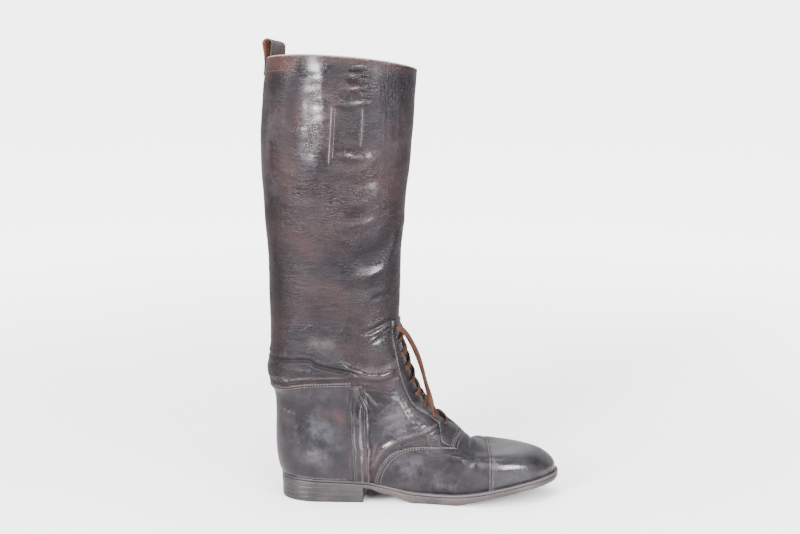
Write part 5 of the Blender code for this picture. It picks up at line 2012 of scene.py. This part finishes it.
@dataclass
class Overlays:
    """The panels sewn on the upper, and every row of thread."""

    high: float = 1.6
    cap_high: float = 2.1
    rows: list[StitchRow] = field(default_factory=list)
    groove_shades: list[StitchRow] = field(default_factory=list)

    def build(self, paints: Paints) -> None:
        """Make vamp, toe cap, counter, straps and eyestay, and sew them.

        Args:
            paints: materials by name.
        """
        self.build_forefoot(paints["foot_leather"], paints["cap_leather"])
        self.build_counter(paints["counter_leather"])
        self.build_straps(paints["strap_leather"])
        self.build_eyestay(paints["foot_leather"])
        self.sew(chart_line(COLLAR_SEAM), 0.05, 1.9, 0.6)

    def sew(self, rows: Array, high: float, length: float = 2.3, width: float = 0.8) -> None:
        """Add a row of thread along chart rows at a height over the last."""
        self.rows.append(StitchRow(*on_leather(rows, high), length=length, width=width))

    def sew_edge(self, panel: Panel, insets: Sequence[float], pressed: float, count: int) -> None:
        """Add rows of thread and a thin dark strip along a panel's first edge, painted shade of its pressed
        line.

        Args:
            panel: the panel.
            insets: distances of the rows from the edge.
            pressed: distance of the pressed line.
            count: points of a row.
        """
        for inset in insets:
            self.sew(panel.inset_line(Edge.START, inset, count), panel.high)
        # A thin dark strip on the pressed line: painted shade of the groove
        groove = on_leather(panel.inset_line(Edge.START, pressed, count), panel.high)
        self.groove_shades.append(StitchRow(*groove, 3.0, 0.02, 0.8, 0.12))

    def build_forefoot(self, foot: Material, cap: Material) -> None:
        """Make the vamp between its wing edge and the toe cap's seam, and the toe cap in front of it.

        Args:
            foot, cap: leathers of the vamp and of the toe cap.
        """
        wing = np.concatenate((chart_line(WING_EDGE), to_ridge(STAY_FRONT)))
        seam = cap_seam()
        vamp = Panel("vamp", mirrored(wing), seam, (Edge.START,), self.high, 90, 420)
        vamp.build(foot)
        self.sew_edge(vamp, (1.6, 3.4, 7.0), 2.5, 500)
        feather = np.column_stack((np.linspace(seam[0, 0], seam[-1, 0], 200), np.zeros(200)))
        toe = Panel("toe_cap", seam, feather, (Edge.START,), self.cap_high, 90, 300, Slot.CAP)
        toe.build(cap)
        self.sew_edge(toe, (1.5, 4.4, 6.2), 2.9, 400)

    def build_counter(self, leather: Material) -> None:
        """Make the counter round the heel, from its top line down to the feather line.

        Args:
            leather: its leather.
        """
        end_x = np.array(COUNTER_END_X)
        reach = float(LAST.angle_for_x(end_x, LAST.rise_for_z(end_x, np.array(COUNTER_END_Z))))
        foot_reach = float(LAST.angle_for_x(end_x, np.array(0.0)))
        angles = np.linspace(reach, -reach, 300)
        top = np.column_stack((angles, LAST.rise_under(angles, COUNTER_TOP)))
        foot = np.column_stack((np.linspace(foot_reach, -foot_reach, 300), np.zeros(300)))
        counter = Panel("counter", top, foot, (Edge.START,), self.high, 70, 300)
        counter.build(leather)
        self.sew_edge(counter, (1.4, 3.6), 2.5, 400)

    def build_straps(self, leather: Material) -> None:
        """Make the upright straps at the counter's ends.

        Args:
            leather: their leather.
        """
        rear, front = chart_line(STRAP_REAR), chart_line(STRAP_FRONT)
        cut = (Edge.START, Edge.END, Edge.LAST)
        for side, name in ((1.0, "side_strap_lateral"), (-1.0, "side_strap_medial")):
            flip = np.array((side, 1.0))
            band = Panel(name, rear * flip, front * flip, cut, self.cap_high, 64, 150, extra=strap_ridges)
            band.build(leather)
            for inset in (4.9, 18.4):
                self.sew(band.inset_line(Edge.START, inset, 200)[:150], self.cap_high, 1.9, 0.6)

    def build_eyestay(self, leather: Material) -> None:
        """Make the eyestay: a band round the throat, from its slot out to the stay's outline.

        Args:
            leather: its leather.
        """
        upper = Upper()
        rises = np.linspace(upper.throat[1] + 0.004, upper.throat[0] - 0.002, 120)
        slot = math.pi - LAST.angle_off_ridge(rises, np.maximum(upper.slot_half(rises), 0.05) + 0.2)
        inner = np.column_stack((slot, rises))
        inner[-1, 0] = math.pi
        outer = np.concatenate((chart_line(STAY_REAR), to_ridge(STAY_FRONT)))
        stay = Panel("eyestay", mirrored(inner), mirrored(outer), tuple(Edge), self.high, 44, 460, worn=0.15)
        stay.build(leather)
        self.sew(stay.inset_line(Edge.END, 1.7, 500), self.high, 2.3, 0.6)
        self.sew(stay.inset_line(Edge.START, 1.6, 400), self.high, 2.0, 0.7)

    def patch_rows(self) -> list[StitchRow]:
        """Close rows of pale thread round the patch on the leg."""
        return [StitchRow(*on_leather(chart_line(corners), 0.0), 2.4, 0.1, width, 0.5 * width)
                for corners, width in PATCH_SEAMS]

    def build_thread(self, name: str, thread: Material, rows: Sequence[StitchRow]) -> None:
        """Make rows of thread as one piece.

        Args:
            name: name of the piece.
            thread: its finish.
            rows: its rows.
        """
        piece = Piece(name, Slot.FOOT)
        for row in rows:
            piece.add_quads(*row.grains())
        piece.make(thread)


# Stage


@dataclass
class Stage:
    """Pale floor, soft lights, pale surroundings and camera, in metres.

    Attributes:
        floor_middle: x of the floor's middle.
        floors: name, inner and outer radius of each ring, and whether polished leather shows it.
        waist: x of the painted shadow on the floor under the sole's waist, and its sharpness.
        lights: name, place, aim, width and height, and power of each area light.
        camera_place, camera_tilt, camera_turn, lens: the photograph's camera, its angles in degrees.
    """

    floor_middle: float = 0.08
    floors: Sequence[tuple[str, float, float, bool]] = (
        ("floor_near", 0.0, 0.34, True), ("floor_far", 0.34, 8.0, False))
    waist: tuple[float, float] = (0.060, 34.0)
    lights: Sequence[tuple[str, Triple, Triple, tuple[float, float], float]] = (
        ("key", (-1.25, -1.95, 0.95), (0.02, 0.0, 0.25), (0.5, 1.2), 170.0),
        ("side", (1.55, -1.65, 0.50), (0.05, 0.0, 0.2), (0.7, 0.7), 80.0),
        ("front", (0.60, -1.90, 1.15), (0.04, 0.0, 0.45), (0.4, 0.4), 24.0),
        ("over", (0.1, -0.3, 2.3), (0.05, 0.0, 0.0), (1.6, 1.2), 60.0))
    camera_place: Triple = (0.14050, -1.62251, 0.58970)
    camera_tilt: float = 90.0 - 11.7
    camera_turn: float = 2.0
    lens: float = 70.2

    def build(self) -> None:
        """Make everything round the boot."""
        self.add_floor()
        self.light_room()
        self.add_lights()
        self.add_camera()

    def make_paper(self) -> Material:
        """Pale paper, darker in the polish, with a painted shadow under the waist, and glowing far off for
        the camera.

        Returns:
            The material.
        """
        paper, graph, shader = new_material("floor_paper")
        place = graph.output("ShaderNodeTexCoord", "Object")
        # Painted shadow: the paper turns dark under the sole's waist
        waist_x, sharp = self.waist
        from_waist = graph.vector("SUBTRACT", place, (waist_x, 0.0, 0.0))
        shade = graph.fill(graph.node("ShaderNodeTexGradient", gradient_type="SPHERICAL"),
                           {"Vector": graph.vector("MULTIPLY", from_waist, (sharp, sharp, 0.0))})
        white = graph.blend(graph.output("ShaderNodeLightPath", "Is Glossy Ray"), (0.88, 0.88, 0.885),
                            (0.55, 0.55, 0.56))
        under = graph.span(shade.outputs["Fac"], 0.0, 0.6, 0.0, 0.9)
        apart = graph.fill(graph.node("ShaderNodeVectorMath", operation="LENGTH"), {0: place})
        glow = graph.times(graph.span(apart.outputs["Value"], 0.3, 1.6),
                           graph.output("ShaderNodeLightPath", "Is Camera Ray"))
        graph.fill(shader, {
            "Base Color": graph.blend(under, white, (0.05, 0.048, 0.05)), "Roughness": 0.9,
            "Emission Color": (1.0, 0.995, 1.0), "Emission Strength": graph.times(glow, 2.6)})
        return paper

    def add_floor(self) -> None:
        """Make the floor as flat rings round the boot."""
        paper = self.make_paper()
        turns = np.arange(64) * FULL_TURN / 64.0
        ring = np.stack((np.cos(turns), np.sin(turns), np.zeros(64)), axis=-1)
        for name, inner, outer, mirrored_in_gloss in self.floors:
            grid = np.array((inner, outer))[:, None, None] * ring + (self.floor_middle, 0.0, 0.0)
            mesh = bpy.data.meshes.new(name)
            mesh.from_pydata(grid.reshape(-1, 3).tolist(), [], grid_quads(2, 64, True)[:, ::-1].tolist())
            mesh.materials.append(paper)
            floor = bpy.data.objects.new(name, mesh)
            floor.visible_glossy = mirrored_in_gloss
            bpy.context.scene.collection.objects.link(floor)

    def light_room(self) -> None:
        """Make the surroundings: bright for the camera, even for the boot, and darker in its polish."""
        world = bpy.context.scene.world or bpy.data.worlds.new("studio")
        bpy.context.scene.world = world
        world.use_nodes = True
        graph = Graph(world.node_tree)
        way = graph.fill(graph.node("ShaderNodeSeparateXYZ"),
                         {0: graph.output("ShaderNodeTexCoord", "Generated")})
        behind = graph.span(way.outputs["Y"], 0.0, 0.7, 0.28, 1.2)
        room = graph.math("MAXIMUM", behind, graph.span(way.outputs["Z"], 0.35, 0.95, 0.28, 0.75))
        strength = graph.between(graph.output("ShaderNodeLightPath", "Is Glossy Ray"), 2.6, room)
        strength = graph.between(graph.output("ShaderNodeLightPath", "Is Camera Ray"), strength, 5.0)
        graph.fill(world.node_tree.nodes["Background"], {"Color": (1.0, 0.985, 1.03), "Strength": strength})

    def add_lights(self) -> None:
        """Make the area lights, each turned so that its -Z looks from its place to its aim."""
        for name, place, aim, (wide, tall), power in self.lights:
            lamp = bpy.data.lights.new(name, "AREA")
            lamp.shape = "RECTANGLE"
            lamp.size, lamp.size_y, lamp.energy = wide, tall, power
            thing = bpy.data.objects.new(name, lamp)
            thing.location = place
            x, y, z = np.asarray(aim) - np.asarray(place)
            thing.rotation_euler = (math.atan2(math.hypot(x, y), -z), 0.0, math.atan2(y, x) - 0.5 * math.pi)
            bpy.context.scene.collection.objects.link(thing)

    def add_camera(self) -> None:
        """Make the photograph's camera."""
        lens = bpy.data.cameras.new("camera")
        lens.lens, lens.sensor_width = self.lens, 36.0
        camera = bpy.data.objects.new("camera", lens)
        camera.location = self.camera_place
        camera.rotation_euler = (math.radians(self.camera_tilt), 0.0, math.radians(self.camera_turn))
        bpy.context.scene.collection.objects.link(camera)
        bpy.context.scene.camera = camera


def main() -> None:
    """Build the stage, the laces and then the boot from the floor up."""
    logging.basicConfig(level=logging.INFO, format="%(name)s %(message)s")
    Stage().build()
    paints = {finish.name: finish.make() for finish in FINISHES}
    lacing = Lacing()
    lacing.build_end(paints["lace_thong"])
    lacing.build_bars(paints["lace_thong"])
    bottom = Sole()
    bottom.build_outsole(paints["sole_leather"])
    bottom.build_heel(paints["heel_leather"])
    bottom.build_welt(paints["welt_leather"])
    bottom.build_insole(paints["lining_leather"])
    Upper().build(paints)
    Tongue().build(paints["tongue_leather"])
    overlays = Overlays()
    overlays.build(paints)
    overlays.build_thread("stitches", paints["thread"], (*overlays.rows, bottom.stitch_line()))
    overlays.build_thread("patch_stitches", paints["pale_thread"], overlays.patch_rows())
    # Thin dark strips along the panels' edges: painted shade of their pressed lines
    overlays.build_thread("seam_groove_shades", paints["painted_shade_dark"], overlays.groove_shades)
    lacing.build_holes(paints["foot_leather"], paints["painted_shade_dark"], overlays.high)
    PullLoop().build(paints)


if __name__ == "__main__":
    main()
